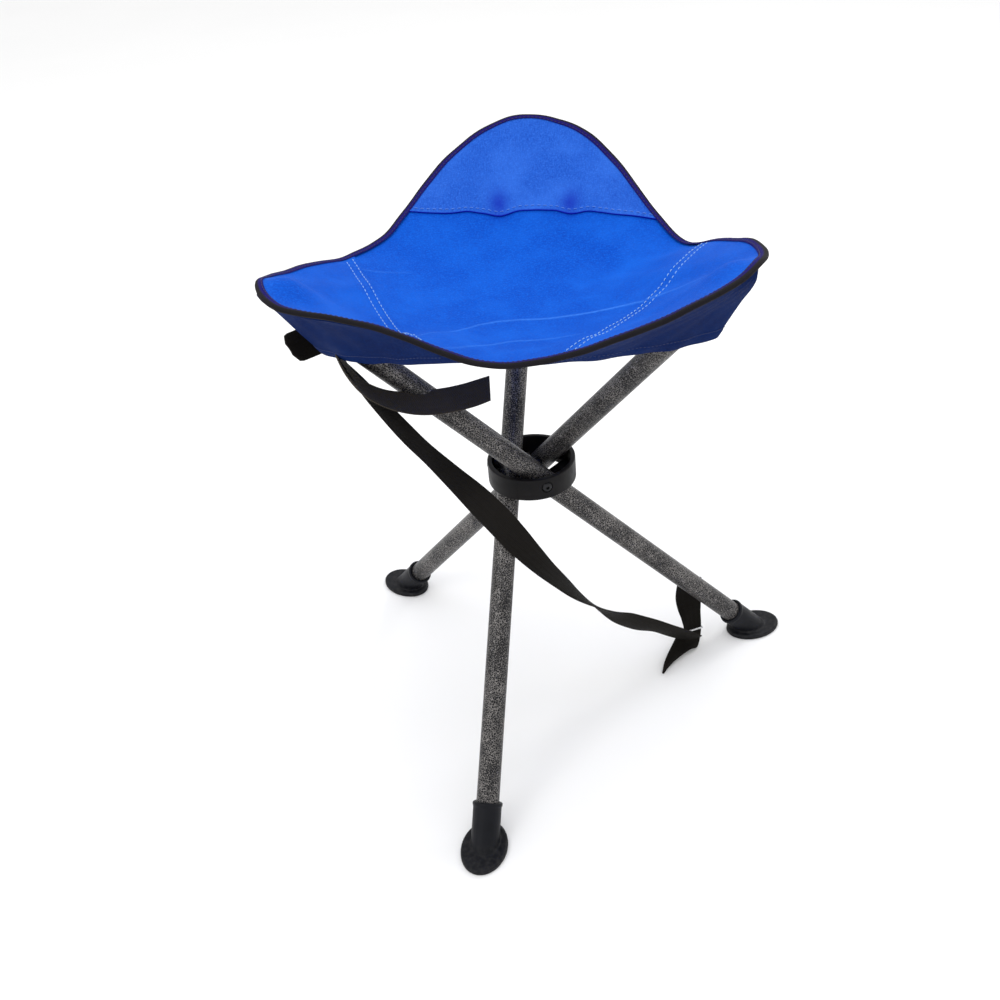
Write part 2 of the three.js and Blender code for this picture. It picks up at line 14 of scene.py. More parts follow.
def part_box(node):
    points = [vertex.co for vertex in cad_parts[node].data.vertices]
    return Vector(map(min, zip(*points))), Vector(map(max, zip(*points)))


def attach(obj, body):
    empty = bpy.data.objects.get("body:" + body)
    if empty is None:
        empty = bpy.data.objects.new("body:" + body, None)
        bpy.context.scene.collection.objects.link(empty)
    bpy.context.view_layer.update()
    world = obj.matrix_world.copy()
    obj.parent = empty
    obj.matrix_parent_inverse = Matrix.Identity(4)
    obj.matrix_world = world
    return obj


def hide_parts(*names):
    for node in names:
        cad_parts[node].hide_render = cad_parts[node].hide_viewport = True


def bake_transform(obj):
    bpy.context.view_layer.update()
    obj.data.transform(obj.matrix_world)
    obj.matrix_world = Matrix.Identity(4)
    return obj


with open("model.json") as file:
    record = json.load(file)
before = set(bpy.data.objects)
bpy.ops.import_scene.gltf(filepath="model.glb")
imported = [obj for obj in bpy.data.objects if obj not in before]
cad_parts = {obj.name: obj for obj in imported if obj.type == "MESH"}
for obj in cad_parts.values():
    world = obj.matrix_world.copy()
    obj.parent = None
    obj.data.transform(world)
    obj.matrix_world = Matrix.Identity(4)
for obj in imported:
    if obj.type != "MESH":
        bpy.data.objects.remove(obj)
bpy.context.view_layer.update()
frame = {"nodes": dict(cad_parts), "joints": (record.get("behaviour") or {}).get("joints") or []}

MM = 0.001
ring_low, ring_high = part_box("hub_ring")
HUB_AXIS = np.array([(ring_low.x + ring_high.x) / 2, (ring_low.y + ring_high.y) / 2, 0])

# The same driving sizes as the CAD source has.
TUBE_RADIUS, TUBE_WALL, TUBE_UP, TUBE_DOWN = 9.5, 1.2, 272, 303
LEG_LEAN = math.radians(41.3)
HUB_RADIUS, HUB_WALL, HUB_HEIGHT, HUB_DROP = 37.7, 4.2, 20, 1.2
PIVOT_HEIGHT, PIVOT_OFFSET = 240, 18.7
COUNTERBORE_FLOOR, COUNTERBORE_RADIUS = 35.9, 4.9
BOLT_RADIUS, BOLT_HEAD_RADIUS, BOLT_HEAD_HEIGHT, BOLT_GAP = 2.4, 4.4, 2.6, 0.3
BORE_RADIUS, NUT_FACE, SPACER_END, WEB_THICKNESS = BOLT_RADIUS + 0.3, -TUBE_RADIUS - 0.3, 32.7, 5
FOLD_ANGLE = math.radians(35)
WEBBING_WIDTH, WEBBING_THICKNESS = 25, 1.5
RIVET_DROP = 226

LEGS = ("right", "left", "front")


def hump(away, half_width, power=2):
    """A smooth hump that is 1 where away is 0."""
    return np.exp(-((away / half_width) ** power))


def place(points):
    """Millimetres about the hub's axis to metres in the frame."""
    return np.asarray(points, float) * MM + HUB_AXIS


def unit(vectors):
    return vectors / np.linalg.norm(vectors, axis=-1, keepdims=True)


def run_along(points):
    """How far along a line each of its points is."""
    steps = np.linalg.norm(np.diff(points, axis=0), axis=1)
    return np.concatenate([[0], np.cumsum(steps)])


# ---- meshes


def link(name, data):
    obj = bpy.data.objects.new(name, data)
    bpy.context.scene.collection.objects.link(obj)
    return obj


def new_object(name, points, faces, uv=None, wear_and_painted_light=None, sharp=50):
    """A smooth-shaded mesh from points in metres. uv and wear_and_painted_light have one entry for
    each point.
    """
    mesh = bpy.data.meshes.new(name)
    mesh.from_pydata(np.asarray(points, float).tolist(), [], faces)
    if uv is not None:
        layer = mesh.uv_layers.new(name="cloth")
        corner_points = np.zeros(len(mesh.loops), np.int32)
        mesh.loops.foreach_get("vertex_index", corner_points)
        layer.data.foreach_set("uv", np.asarray(uv, np.float32)[corner_points].ravel())
    if wear_and_painted_light is not None:
        mesh.attributes.new("wear_and_painted_light", "FLOAT", "POINT").data.foreach_set("value", np.float32(wear_and_painted_light))
    obj = link(name, mesh)
    tidy(obj, sharp)
    return obj


def tidy(obj, sharp=50):
    """Merges coincident points, turns the faces outwards and marks edges sharper than an angle."""
    cells = bmesh.new()
    cells.from_mesh(obj.data)
    bmesh.ops.remove_doubles(cells, verts=cells.verts, dist=1e-6)
    bmesh.ops.dissolve_degenerate(cells, edges=cells.edges, dist=1e-7)
    bmesh.ops.recalc_face_normals(cells, faces=cells.faces)
    cells.to_mesh(obj.data)
    cells.free()
    obj.data.shade_smooth()
    obj.data.set_sharp_from_angle(angle=math.radians(sharp))


def freeze(obj):
    """Applies the object's modifiers."""
    graph = bpy.context.evaluated_depsgraph_get()
    final = bpy.data.meshes.new_from_object(obj.evaluated_get(graph))
    obj.modifiers.clear()
    obj.data = final


def carve(obj, *cutters):
    """Cuts solids out of an object and removes them."""
    for cutter in cutters:
        cut = obj.modifiers.new("cut", "BOOLEAN")
        cut.operation, cut.solver, cut.object = "DIFFERENCE", "EXACT", cutter
    freeze(obj)
    for cutter in cutters:
        bpy.data.objects.remove(cutter)
    tidy(obj, 35)


def skin(rings, sides, base=0, closed=False, caps=True):
    """Faces from each ring of points to the next, and over both ends of an open row of rings."""
    faces = []
    for i in range(rings if closed else rings - 1):
        here, after = base + i * sides, base + (i + 1) % rings * sides
        for k in range(sides):
            m = (k + 1) % sides
            faces.append((here + k, here + m, after + m, after + k))
    if caps and not closed:
        faces.append(tuple(base + k for k in range(sides - 1, -1, -1)))
        faces.append(tuple(base + (rings - 1) * sides + k for k in range(sides)))
    return faces


def swept(name, rings, closed=False, uv=None, sharp=50):
    """A skin through rings of points, in millimetres. rings has the shape (rings, points, 3)."""
    faces = skin(*rings.shape[:2], closed=closed)
    return new_object(name, place(rings.reshape(-1, 3)), faces, uv, sharp=sharp)


def shell(name, low, high, uv, wear_and_painted_light=None):
    """A closed sheet between two grids of points, in mm, of the shape (rows, columns, 3)."""
    rows, columns = low.shape[:2]
    layer = rows * columns
    index = np.arange(layer).reshape(rows, columns)
    a, b, c, d = index[:-1, :-1], index[:-1, 1:], index[1:, 1:], index[1:, :-1]
    lower = np.stack([a, d, c, b], -1).reshape(-1, 4)
    upper = np.stack([a, b, c, d], -1).reshape(-1, 4) + layer
    rim = np.concatenate([index[0, :-1], index[:-1, -1], index[-1, :0:-1], index[:0:-1, 0]])
    after = np.roll(rim, -1)
    wall = np.stack([rim, after, after + layer, rim + layer], -1)
    faces = np.concatenate([lower, upper, wall]).tolist()
    points = np.concatenate([low.reshape(-1, 3), high.reshape(-1, 3)])
    uv = np.concatenate([uv.reshape(-1, 2)] * 2)
    if wear_and_painted_light is not None:
        wear_and_painted_light = np.concatenate([wear_and_painted_light.ravel()] * 2)
    return new_object(name, place(points), faces, uv, wear_and_painted_light)


def rounded(profile, radius, steps=4):
    """The profile with each inner corner turned into a small arc."""
    points = [Vector(p) for p in profile]
    out = [points[0]]
    for before, corner, after in zip(points, points[1:], points[2:]):
        to_before, to_after = before - corner, after - corner
        reach = min(radius, to_before.length * 0.45, to_after.length * 0.45)
        start = corner + to_before.normalized() * reach
        end = corner + to_after.normalized() * reach
        for i in range(steps + 1):
            t = i / steps
            out.append(start.lerp(corner, t).lerp(corner.lerp(end, t), t))
    return out + [points[-1]]


def turned(name, profile, matrix, segments=64, sharp=50):
    """A solid of revolution about the matrix's Z axis. The profile is [radius, z], in mm."""
    turns = np.linspace(0, 2 * math.pi, segments, endpoint=False)
    profile = np.array([tuple(p) for p in profile], float)
    points = np.zeros((len(profile), segments, 3))
    points[..., :2] = profile[:, None, :1] * np.stack([np.cos(turns), np.sin(turns)], -1)[None]
    points[..., 2] = profile[:, None, 1]
    world = np.array(matrix)
    points = points.reshape(-1, 3) @ world[:3, :3].T + world[:3, 3]
    faces = skin(len(profile), segments, caps=False)
    return new_object(name, place(points), faces, sharp=sharp)


def rod(name, radius, low, high, matrix, segments):
    profile = [(0, low), (radius, low), (radius, high), (0, high)]
    return turned(name, profile, matrix, segments)


def soften(obj):
    """Weighted normals, so that flat faces beside a small rounding shade as flat."""
    obj.modifiers.new("normals", "WEIGHTED_NORMAL").keep_sharp = True


# ---- materials


def add(tree, kind, inputs=None, **settings):
    """A shader node. Each input is a value or the socket that feeds it."""
    node = tree.nodes.new("ShaderNode" + kind)
    for key, value in settings.items():
        setattr(node, key, value)
    for key, value in (inputs or {}).items():
        if isinstance(value, bpy.types.NodeSocket):
            tree.links.new(value, node.inputs[key])
        else:
            node.inputs[key].default_value = value
    return node


def noise_of(where, scale, detail=3, roughness=0.55):
    inputs = {"Vector": where, "Scale": scale, "Detail": detail, "Roughness": roughness}
    return add(where.id_data, "TexNoise", inputs).outputs["Fac"]


def between(value, low, high, to_low=0.0, to_high=1.0):
    """The value's range from low to high, spread over another range."""
    inputs = dict(enumerate((value, low, high, to_low, to_high)))
    return add(value.id_data, "MapRange", inputs, clamp=True).outputs["Result"]


def maths(operation, *values):
    inputs = dict(enumerate(values))
    return add(values[0].id_data, "Math", inputs, operation=operation).outputs[0]


def blend_colour(share, first, second):
    first, second = (c if isinstance(c, bpy.types.NodeSocket) else (*c, 1) for c in (first, second))
    node = add(share.id_data, "Mix", data_type="RGBA")
    for index, value in ((0, share), (6, first), (7, second)):
        if isinstance(value, bpy.types.NodeSocket):
            share.id_data.links.new(value, node.inputs[index])
        else:
            node.inputs[index].default_value = value
    return node.outputs[2]


def bumped(height, strength, distance):
    """distance is the real height in metres of a full step of the height input."""
    inputs = {"Height": height, "Strength": strength, "Distance": distance}
    return add(height.id_data, "Bump", inputs).outputs["Normal"]


def material(name, recipe, *details, **sockets):
    """A material whose recipe returns linked sockets. where is the object coordinate."""
    made = bpy.data.materials.new(name)
    made.use_nodes = True
    tree = made.node_tree
    tree.nodes.clear()
    where = add(tree, "TexCoord").outputs["Object"]
    shader = add(tree, "BsdfPrincipled", {**sockets, **recipe(tree, where, *details)})
    add(tree, "OutputMaterial", {"Surface": shader.outputs["BSDF"]})
    return made


def hammertone(tree, where):
    """Dark paint islands in a net of silver, as a hammer finish dries."""
    wander = noise_of(where, 900, 2)
    jitter = add(tree, "TexNoise", {"Vector": where, "Scale": 1100.0}).outputs["Color"]
    jitter = add(tree, "VectorMath", {0: jitter, "Scale": 0.0009}, operation="SCALE").outputs[0]
    shifted = add(tree, "VectorMath", {0: where, 1: jitter}, operation="ADD").outputs[0]
    inputs = {"Vector": shifted, "Scale": 600.0, "Randomness": 1.0}
    cells = add(tree, "TexVoronoi", inputs, feature="DISTANCE_TO_EDGE").outputs["Distance"]
    drift = between(noise_of(where, 45, 3), 0.35, 0.65, 0.03, 0.092)
    edge = maths("ADD", drift, between(wander, 0.3, 0.7, -0.06, 0.06))
    island = between(maths("SUBTRACT", cells, edge), -0.035, 0.03)
    silver = blend_colour(noise_of(where, 260), (0.096, 0.09, 0.087), (0.345, 0.325, 0.312))
    return {
        "Base Color": blend_colour(island, silver, (0.0035, 0.0036, 0.005)),
        "Metallic": between(island, 0, 1, 0.6, 0.0),
        "Roughness": between(island, 0, 1, 0.42, 0.38),
        "Normal": bumped(island, 0.55, 0.00010),
    }


def grained(tree, where, dark, light, grain, height, dust=0.0):
    """Moulded plastic or rubber: fine grain, soft blotches, and dust near the floor."""
    blotches = between(noise_of(where, 60, 4), 0.3, 0.7)
    colour = blend_colour(blotches, dark, light)
    if dust:
        z = add(tree, "SeparateXYZ", {0: where}).outputs[2]
        low = between(z, 0.001, 0.012, dust, 0.0)
        spots = maths("MULTIPLY", low, between(noise_of(where, 240, 4), 0.4, 0.7))
        colour = blend_colour(spots, colour, (0.16, 0.15, 0.135))
    fine = noise_of(where, grain, 2)
    return {
        "Base Color": colour,
        "Roughness": between(noise_of(where, 110, 3), 0.3, 0.7, 0.36, 0.5),
        "Normal": bumped(fine, 0.5, height),
    }


def metal(tree, where, colour, low, high):
    """Bare or blackened metal with fine scratches."""
    stretched = add(tree, "Mapping", {"Vector": where, "Scale": (900, 140, 900)}).outputs[0]
    scratches = noise_of(stretched, 1.0, 2, 0.5)
    tone = blend_colour(noise_of(where, 300), colour, tuple(c * 0.7 for c in colour))
    return {
        "Base Color": tone,
        "Roughness": between(scratches, 0.3, 0.7, low, high),
        "Normal": bumped(scratches, 0.3, 0.00003),
    }


# The cloth's weave in metres, the painted shade colour of its gathers and of the line along the
# rear hem, and how much rubbing and the painted highlight beside the front tape change it.
WEAVE_PITCH, SHADED_BLUE, WEAR_AND_HIGHLIGHT_SHARE = 0.0011, (0.0006, 0.008, 0.34), 0.6


def woven(tree, where, base, deep, light, worn=None):
    """Plain-woven cloth, its threads running along the cloth map. worn is the pale colour that
    rubbing gives it, also used for the painted highlight beside the front tape.
    """
    cloth = add(tree, "UVMap", uv_map="cloth").outputs["UV"]
    split = add(tree, "SeparateXYZ", {0: cloth})
    waves = [
        maths("SINE", maths("MULTIPLY", split.outputs[i], 2 * math.pi / WEAVE_PITCH))
        for i in (0, 1)
    ]
    weave = maths("MULTIPLY", *waves)
    stretched = add(tree, "Mapping", {"Vector": cloth, "Scale": (240, 1100, 1)}).outputs[0]
    slubs = noise_of(stretched, 1.0, 3, 0.5)
    clouds = noise_of(where, 26, 4)
    colour = blend_colour(between(slubs, 0.3, 0.72), deep, base)
    colour = blend_colour(between(clouds, 0.42, 0.75, 0, 0.55), colour, light)
    specks = between(noise_of(where, 700, 3), 0.48, 0.70, 0, 0.6)
    colour = blend_colour(specks, colour, light)
    # Painted shade in the weave's hollows: the lower crossings blend towards deep.
    colour = blend_colour(between(weave, -1, 0, 0.35, 0.0), colour, deep)
    if worn:
        wear_light_and_shade = add(tree, "Attribute", attribute_name="wear_and_painted_light").outputs["Fac"]
        # Below zero the attribute paints shade: a deep blue in the rear seam's gathers and along
        # the rear hem.
        colour = blend_colour(between(wear_light_and_shade, 0, -1), colour, SHADED_BLUE)
        # Above zero, rubbing along the creases and the painted highlight beside the front tape turn
        # the cloth towards worn.
        broken = between(wear_light_and_shade, 0, 1)
        broken = maths("MULTIPLY", broken, between(slubs, 0.35, 0.6, 0.5, 1.0))
        colour = blend_colour(maths("MULTIPLY", broken, WEAR_AND_HIGHLIGHT_SHARE), colour, worn)
    height = maths("ADD", weave, maths("MULTIPLY", slubs, 0.9))
    return {
        "Base Color": colour,
        "Roughness": between(slubs, 0.3, 0.7, 0.62, 0.8),
        "Normal": bumped(height, 0.55, 0.00010),
    }


def ribbed(tree, where, dark, light, rib, chevron, tint=None):
    """Webbing or tape, with ribs along the map's V, in zigzag. tint is [from U, to U, colour]: a
    band painted in that colour, which on the edge tape is a painted reflection of the seat cloth.
    """
    cloth = add(tree, "UVMap", uv_map="cloth").outputs["UV"]
    split = add(tree, "SeparateXYZ", {0: cloth})
    across, along = split.outputs[0], split.outputs[1]
    zigzag = maths("PINGPONG", across, chevron)
    ribs = maths("SINE", maths("MULTIPLY", maths("ADD", along, zigzag), 2 * math.pi / rib))
    threads = maths("SINE", maths("MULTIPLY", across, 2 * math.pi / (rib * 0.8)))
    fuzz = noise_of(where, 1500, 2)
    patches = noise_of(where, 40, 3)
    # Painted shade and highlight: darker in the ribs' hollows, lighter on their tops.
    colour = blend_colour(between(ribs, -1, 1), dark, light)
    colour = blend_colour(between(patches, 0.4, 0.7, 0, 0.35), colour, light)
    # Painted reflection: the band given by tint.
    if tint:
        colour = blend_colour(between(across, tint[0], tint[1]), colour, tint[2])
    height = maths("ADD", ribs, maths("ADD", maths("MULTIPLY", threads, 0.5), fuzz))
    return {
        "Base Color": colour,
        "Roughness": between(fuzz, 0.3, 0.7, 0.66, 0.85),
        "Normal": bumped(height, 0.6, 0.00014),
    }


def floor_paint(tree, where):
    colour = blend_colour(noise_of(where, 3, 2), (0.90, 0.90, 0.90), (0.92, 0.92, 0.92))
    return {"Base Color": colour, "Normal": bumped(noise_of(where, 80), 0.1, 0.0002)}


# The hard parts' materials, by the name of the slot that each one fills.
hard = {
    slot: material(slot, recipe, *details, **sockets)
    for slot, recipe, details, sockets in (
        ("tube_paint", hammertone, (),
         {"Coat Weight": 0.08, "Coat Roughness": 0.1, "Specular IOR Level": 0.2}),
        ("black_plastic", grained,
         ((0.0045, 0.0043, 0.0048), (0.0085, 0.0075, 0.008), 2600, 0.00004),
         {"Specular IOR Level": 0.1}),
        ("foot_rubber", grained,
         ((0.0045, 0.005, 0.007), (0.008, 0.0085, 0.0115), 1800, 0.00005, 0.12),
         {"Specular IOR Level": 0.12}),
        ("black_steel", metal, ((0.032, 0.032, 0.034), 0.32, 0.5), {"Metallic": 0.9}),
        ("bright_steel", metal, ((0.72, 0.72, 0.74), 0.2, 0.38), {"Metallic": 1.0}),
    )
}


def fibres(gloss, sheen=None, roughness=None, tint=None):
    """Shader sockets of cloth: its gloss, and the weight, roughness and tint of its sheen."""
    sockets = {"Specular IOR Level": gloss, "Sheen Weight": sheen, "Sheen Roughness": roughness,
               "Sheen Tint": tint}
    return {name: value for name, value in sockets.items() if value is not None}


blue_cloth = material(
    "seat_fabric", woven, (0.001, 0.088, 0.56), (0.0005, 0.052, 0.40), (0.007, 0.132, 0.68),
    (0.06, 0.25, 0.80), **fibres(0.06, 0.04, 0.35, (0.3, 0.6, 1, 1)),
)
# The rear corner's second layer gets a paler copy of the same cloth: painted light for the light
# the rear flap reflects.
lit_rear_cloth = material(
    "lit_rear_corner_fabric", woven, (0.015, 0.108, 0.56), (0.006, 0.062, 0.41), (0.036, 0.165, 0.70),
    (0.08, 0.26, 0.80), **fibres(0.08, 0.04, 0.35, (0.5, 0.7, 1, 1)),
)
navy_cloth = material(
    "pocket_fabric", woven, (0.0028, 0.0145, 0.089), (0.0017, 0.008, 0.053),
    (0.005, 0.025, 0.125), **fibres(0.05),
)
# Painted reflection: the band 12 to 13.8 mm across the tape, on its top near the fold, is the seat
# cloth's blue seen in the black tape.
edge_tape = material(
    "edge_tape", ribbed, (0.003, 0.003, 0.0042), (0.014, 0.012, 0.015), 0.0012, 0.0025,
    (0.0120, 0.0138, (0.008, 0.003, 0.115)), **fibres(0.1, 0.01, 0.4),
)
webbing = material(
    "webbing", ribbed, (0.0042, 0.0036, 0.003), (0.012, 0.0102, 0.0085), 0.0016, 0.0031,
    **fibres(0.08, 0.01, 0.5),
)
# The closing strap gets a lighter, glossier copy of the same webbing: painted light for the light
# it catches.
lit_copy_webbing = material(
    "lit_copy_webbing", ribbed, (0.019, 0.0155, 0.0115), (0.046, 0.037, 0.027), 0.0016, 0.0031,
    **fibres(0.2, 0.03, 0.5),
)


def twisted(tree, where, colour):
    twist = noise_of(where, 1600, 2)
    # Painted shade: the thread is darker where its twist's relief sinks.
    tone = blend_colour(twist, tuple(c * 0.6 for c in colour), colour)
    return {"Base Color": tone, "Normal": bumped(twist, 0.5, 0.0001)}


soft_thread = material("soft_thread", twisted, (0.09, 0.26, 0.82), Roughness=0.6)
pale_thread = material("pale_thread", twisted, (0.26, 0.50, 0.90), Roughness=0.6)
deep_thread = material("deep_thread", twisted, (0.005, 0.022, 0.13), Roughness=0.6)
black_thread = material("black_thread", twisted, (0.018, 0.017, 0.02), Roughness=0.6)

# ---- the seat's surface

BOWL_HEIGHT = 390
# Each corner's tip as the cloth hangs: its azimuth, distance from the hub's axis and height.
TIPS = {"rear": (91.1, 203.2, 479.4), "left": (218.4, 203.6, 455.4), "right": (326.7, 202.9, 460.0)}
# The middle of each side: its azimuth, distance and height.
SIDES = {
    "back_left": (150, 149.2, 415.6),
    "front": (270, 153.1, 417.5),
    "back_right": (30, 155.8, 404.2),
}
# How sharply the edge runs in, and down, from each corner towards each side. 1 is a plain wave.
FALLS = {
    ("rear", "back_left"): (1.0, 1.22),
    ("left", "back_left"): (1.54, 1.19),
    ("left", "front"): (3.5, 0.95),
    ("right", "front"): (0.92, 1.0),
    ("right", "back_right"): (1.6, 0.6),
    ("rear", "back_right"): (1.6, 1.0),
}
CORNER_AZIMUTH = {"rear": 90, "left": 210, "right": 330}
# The tube's end holds the cloth up here: [distance from the axis, azimuth, lift, half width].
TENTS = [(178, 210, 14, 14), (178, 330, 9, 14)]


def raw_edge(azimuth):
    """Distance and height of the seat's edge at an array of azimuths."""
    azimuth = np.asarray(azimuth, float) % 360
    radius, height = np.zeros_like(azimuth), np.zeros_like(azimuth)
    for (corner, side), (run, drop) in FALLS.items():
        tip, tip_radius, tip_height = TIPS[corner]
        middle, side_radius, side_height = SIDES[side]
        turn = (middle - tip + 180) % 360 - 180
        from_tip = ((azimuth - tip + 180) % 360 - 180) / turn
        inside = (from_tip >= 0) & (from_tip <= 1)
        wave = np.cos(np.clip(from_tip, 0, 1) * math.pi / 2) ** 2
        radius = np.where(inside, side_radius + (tip_radius - side_radius) * wave**run, radius)
        height = np.where(inside, side_height + (tip_height - side_height) * wave**drop, height)
    return radius, height


def seat_edge(azimuth):
    """The edge again, with its kinks eased over a few degrees."""
    steps = np.array([-3, -1.5, 0, 1.5, 3])
    radius, height = raw_edge(np.asarray(azimuth, float)[..., None] + steps)
    return radius.mean(-1), height.mean(-1)


def rise(share):
    """The share of the height gained from the centre to the edge: a bowl, then a straight flap."""
    flap = 0.36 + 0.64 * (share - 0.6) / 0.4
    bowl = 0.36 * (np.clip(share, 0, 0.6) / 0.6) ** 2.667
    return np.where(share > 0.6, flap, bowl)


def line_distance(x, y, line):
    """Distance in plan from a bent line, and how far along it the nearest point is, from 0 to 1."""
    best, place_on = np.full(x.shape, 1e9), np.zeros(x.shape)
    line = catmull(line, 4 * len(line) - 3)
    for i, (a, b) in enumerate(zip(line, line[1:])):
        d = b - a
        t = np.clip(((x - a[0]) * d[0] + (y - a[1]) * d[1]) / (d @ d), 0, 1)
        away = np.hypot(x - a[0] - t * d[0], y - a[1] - t * d[1])
        nearer = away < best
        best = np.where(nearer, away, best)
        place_on = np.where(nearer, (i + t) / (len(line) - 1), place_on)
    return best, place_on


def catmull(points, samples):
    """Points along a smooth curve through the given ones."""
    points = np.array(points, float)
    first, last = 2 * points[0] - points[1], 2 * points[-1] - points[-2]
    padded = np.concatenate([[first], points, [last]])
    at = np.linspace(0, len(points) - 1, samples)
    span = np.minimum(at.astype(int), len(points) - 2)
    t = (at - span)[:, None]
    a, b, c, d = (padded[span + i] for i in range(4))
    bend, turn = 2 * a - 5 * b + 4 * c - d, 3 * b - a - 3 * c + d
    return 0.5 * (2 * b + (c - a) * t + bend * t**2 + turn * t**3)


# Sharp creases left by folding: the points they pass through, and how worn they are.
CREASES = [
    ([(-69, -118), (-27, -41), (26, -30), (79, -30), (124, -53), (162, -62)], 1.0),
    ([(-42, -138), (-8, -84), (22, -79), (54, -84)], 0.8),
    ([(-150, 20), (-118, 28), (-92, 40)], 0.35),
]
# Soft folds: the points, the height of the fold and its half width.
FOLDS = [
    ([(-24, 106), (-23, 118), (-19, 136)], -1.2, 7),
    ([(-36, 110), (-41, 128)], 0.9, 6),
    ([(-10, 112), (-5, 130)], 0.9, 6),
    ([(36, 104), (36, 116), (33, 136)], -1.3, 8),
    ([(24, 108), (22, 126)], 0.8, 6),
    ([(50, 106), (54, 124)], 0.8, 6),
    ([(-19, 110), (-14, 62)], -1.5, 14),
    ([(44, 106), (34, 58)], -1.5, 14),
    ([(-150, -62), (-108, -72), (-62, -98)], -1.2, 15),
    ([(-90, -86), (-72, -104), (-60, -122)], -5.0, 17),
    ([(-165, -60), (-128, -28), (-112, 6)], 1.2, 12),
    ([(150, -52), (112, -24), (92, 8)], -1.8, 12),
    ([(128, -96), (88, -106), (56, -118)], -1.6, 10),
    ([(10, -132), (4, -80), (0, -30)], 1.2, 16),
    ([(118, 20), (84, 44), (52, 78)], -1.2, 13),
    ([(-112, 62), (-82, 62), (-50, 84)], -1.2, 13),
]
# Painted shade in the dimples where the rear seam is gathered: their places in plan.
PAINTED_DIMPLE_SHADE = [(-26, 127), (36, 124)]
# The azimuths between which a painted highlight lightens the cloth beside the tape.
PAINTED_RIM_HIGHLIGHT = (226, 266)
# Gentle waves over the whole cloth: wavelength, direction and height.
WAVES = [(88, 15, 0.5), (61, 74, 0.4), (47, 131, 0.3), (33, 48, 0.18), (26, 160, 0.12)]


def seat_height(x, y):
    """Height of the seat cloth's underside above each point in plan."""
    radius = np.hypot(x, y)
    edge_radius, edge_height = seat_edge(np.degrees(np.arctan2(y, x)))
    share = radius / edge_radius
    height = BOWL_HEIGHT + (edge_height - BOWL_HEIGHT) * rise(share)
    for distance, azimuth, lift, spread in TENTS:
        cx = distance * math.cos(math.radians(azimuth))
        cy = distance * math.sin(math.radians(azimuth))
        height = height + lift * np.exp(-((x - cx) ** 2 + (y - cy) ** 2) / (2 * spread**2))
    inside = np.clip((1 - share) / 0.08, 0, 1)
    for line, rise_by, half_width in FOLDS:
        away, along = line_distance(x, y, line)
        fade = np.clip(np.sin(math.pi * np.clip(0.08 + 0.84 * along, 0, 1)) * 1.6, 0, 1)
        height = height + inside * fade * rise_by * hump(away, half_width)
    for line, worn in CREASES:
        away, along = line_distance(x, y, line)
        height = height + inside * worn * 0.4 * hump(away, 2.2)
    for wavelength, azimuth, size in WAVES:
        turn = math.radians(azimuth)
        phase = 2 * math.pi * (x * math.cos(turn) + y * math.sin(turn)) / wavelength
        height = height + size * np.sin(phase) * np.clip(share, 0, 1)
    return height


def on_seat(x, y, offset):
    """Points a distance above the cloth's underside, along its normal."""
    x, y = np.asarray(x, float), np.asarray(y, float)
    step = 0.4
    slope_x = (seat_height(x + step, y) - seat_height(x - step, y)) / (2 * step)
    slope_y = (seat_height(x, y + step) - seat_height(x, y - step)) / (2 * step)
    normal = unit(np.stack([-slope_x, -slope_y, np.ones_like(x)], -1))
    return np.stack([x, y, seat_height(x, y)], -1) + normal * np.asarray(offset)[..., None]


def wear_and_painted_light_at(x, y):
    """Rubbing and painted light on the cloth: from 0 to 1 the rubbing along its creases and a
    painted highlight beside the front tape, from 0 to -1 painted shade in the rear seam's gathers.
    """
    azimuth = np.degrees(np.arctan2(y, x)) % 360
    first, last = PAINTED_RIM_HIGHLIGHT
    stretch = np.clip((azimuth - first) / 8, 0, 1) * np.clip((last - azimuth) / 12, 0, 1)
    inset = seat_edge(azimuth)[0] - np.hypot(x, y)
    # A painted highlight on the cloth just inside the front tape.
    total = 0.55 * stretch * hump(inset - 8.5, 1.5)
    for line, worn in CREASES:
        away, along = line_distance(x, y, line)
        faded = worn * (0.3 + 0.7 * np.sin(math.pi * along))
        total = np.maximum(total, faded * hump(away, 1.3))
    # Painted shade in the dimples of the rear seam's gathers.
    for cx, cy in PAINTED_DIMPLE_SHADE:
        total = total - 0.7 * np.exp(-(((x - cx) / 8) ** 2) - ((y - cy) / 10) ** 2)
    return total


def plan(azimuth, radius):
    turn = np.radians(azimuth)
    return radius * np.cos(turn), radius * np.sin(turn)


def sew(obj, made_of):
    """Gives a piece of a corner its material and bakes its transform into its mesh."""
    obj.data.materials.append(made_of)
    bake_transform(obj)
    return obj


# Layers at the edge, as distances above the underside of the panel.
PANEL_LOW, PANEL_HIGH = 0.4, 1.4
PATCH_LOW, PATCH_HIGH = 1.6, 2.6
TAPE_LIP, PATCH_INSET = 6.3, 2.5
# The tape's section as [outwards from the edge, up], from its lower lip round to its upper one,
# back inside, and how far across the tape each point of the outer face is, in metres.
TAPE_SECTION = [
    (-6.0, -0.6), (-4.5, -0.7), (-2, -0.8), (-0.2, -0.7), (0.9, -0.2), (1.3, 0.9), (0.9, 2.1),
    (-0.2, 2.9), (-2, 3.3), (-4.5, 3.4), (-6.0, 3.35), (-6.3, 3.1), (-6.0, 2.9), (-3.5, 2.85),
    (-0.9, 2.6), (0.2, 1.9), (0.4, 0.9), (0.1, 0.2), (-0.9, -0.1), (-3.5, -0.1), (-6.0, 0.0),
    (-6.3, -0.3),
]
TAPE_ACROSS = [0.0004, 0.0019, 0.0044, 0.0062, 0.0074, 0.0086, 0.0099, 0.0113, 0.0131, 0.0156,
               0.0171]
TAPE_WIDTH = 0.0173


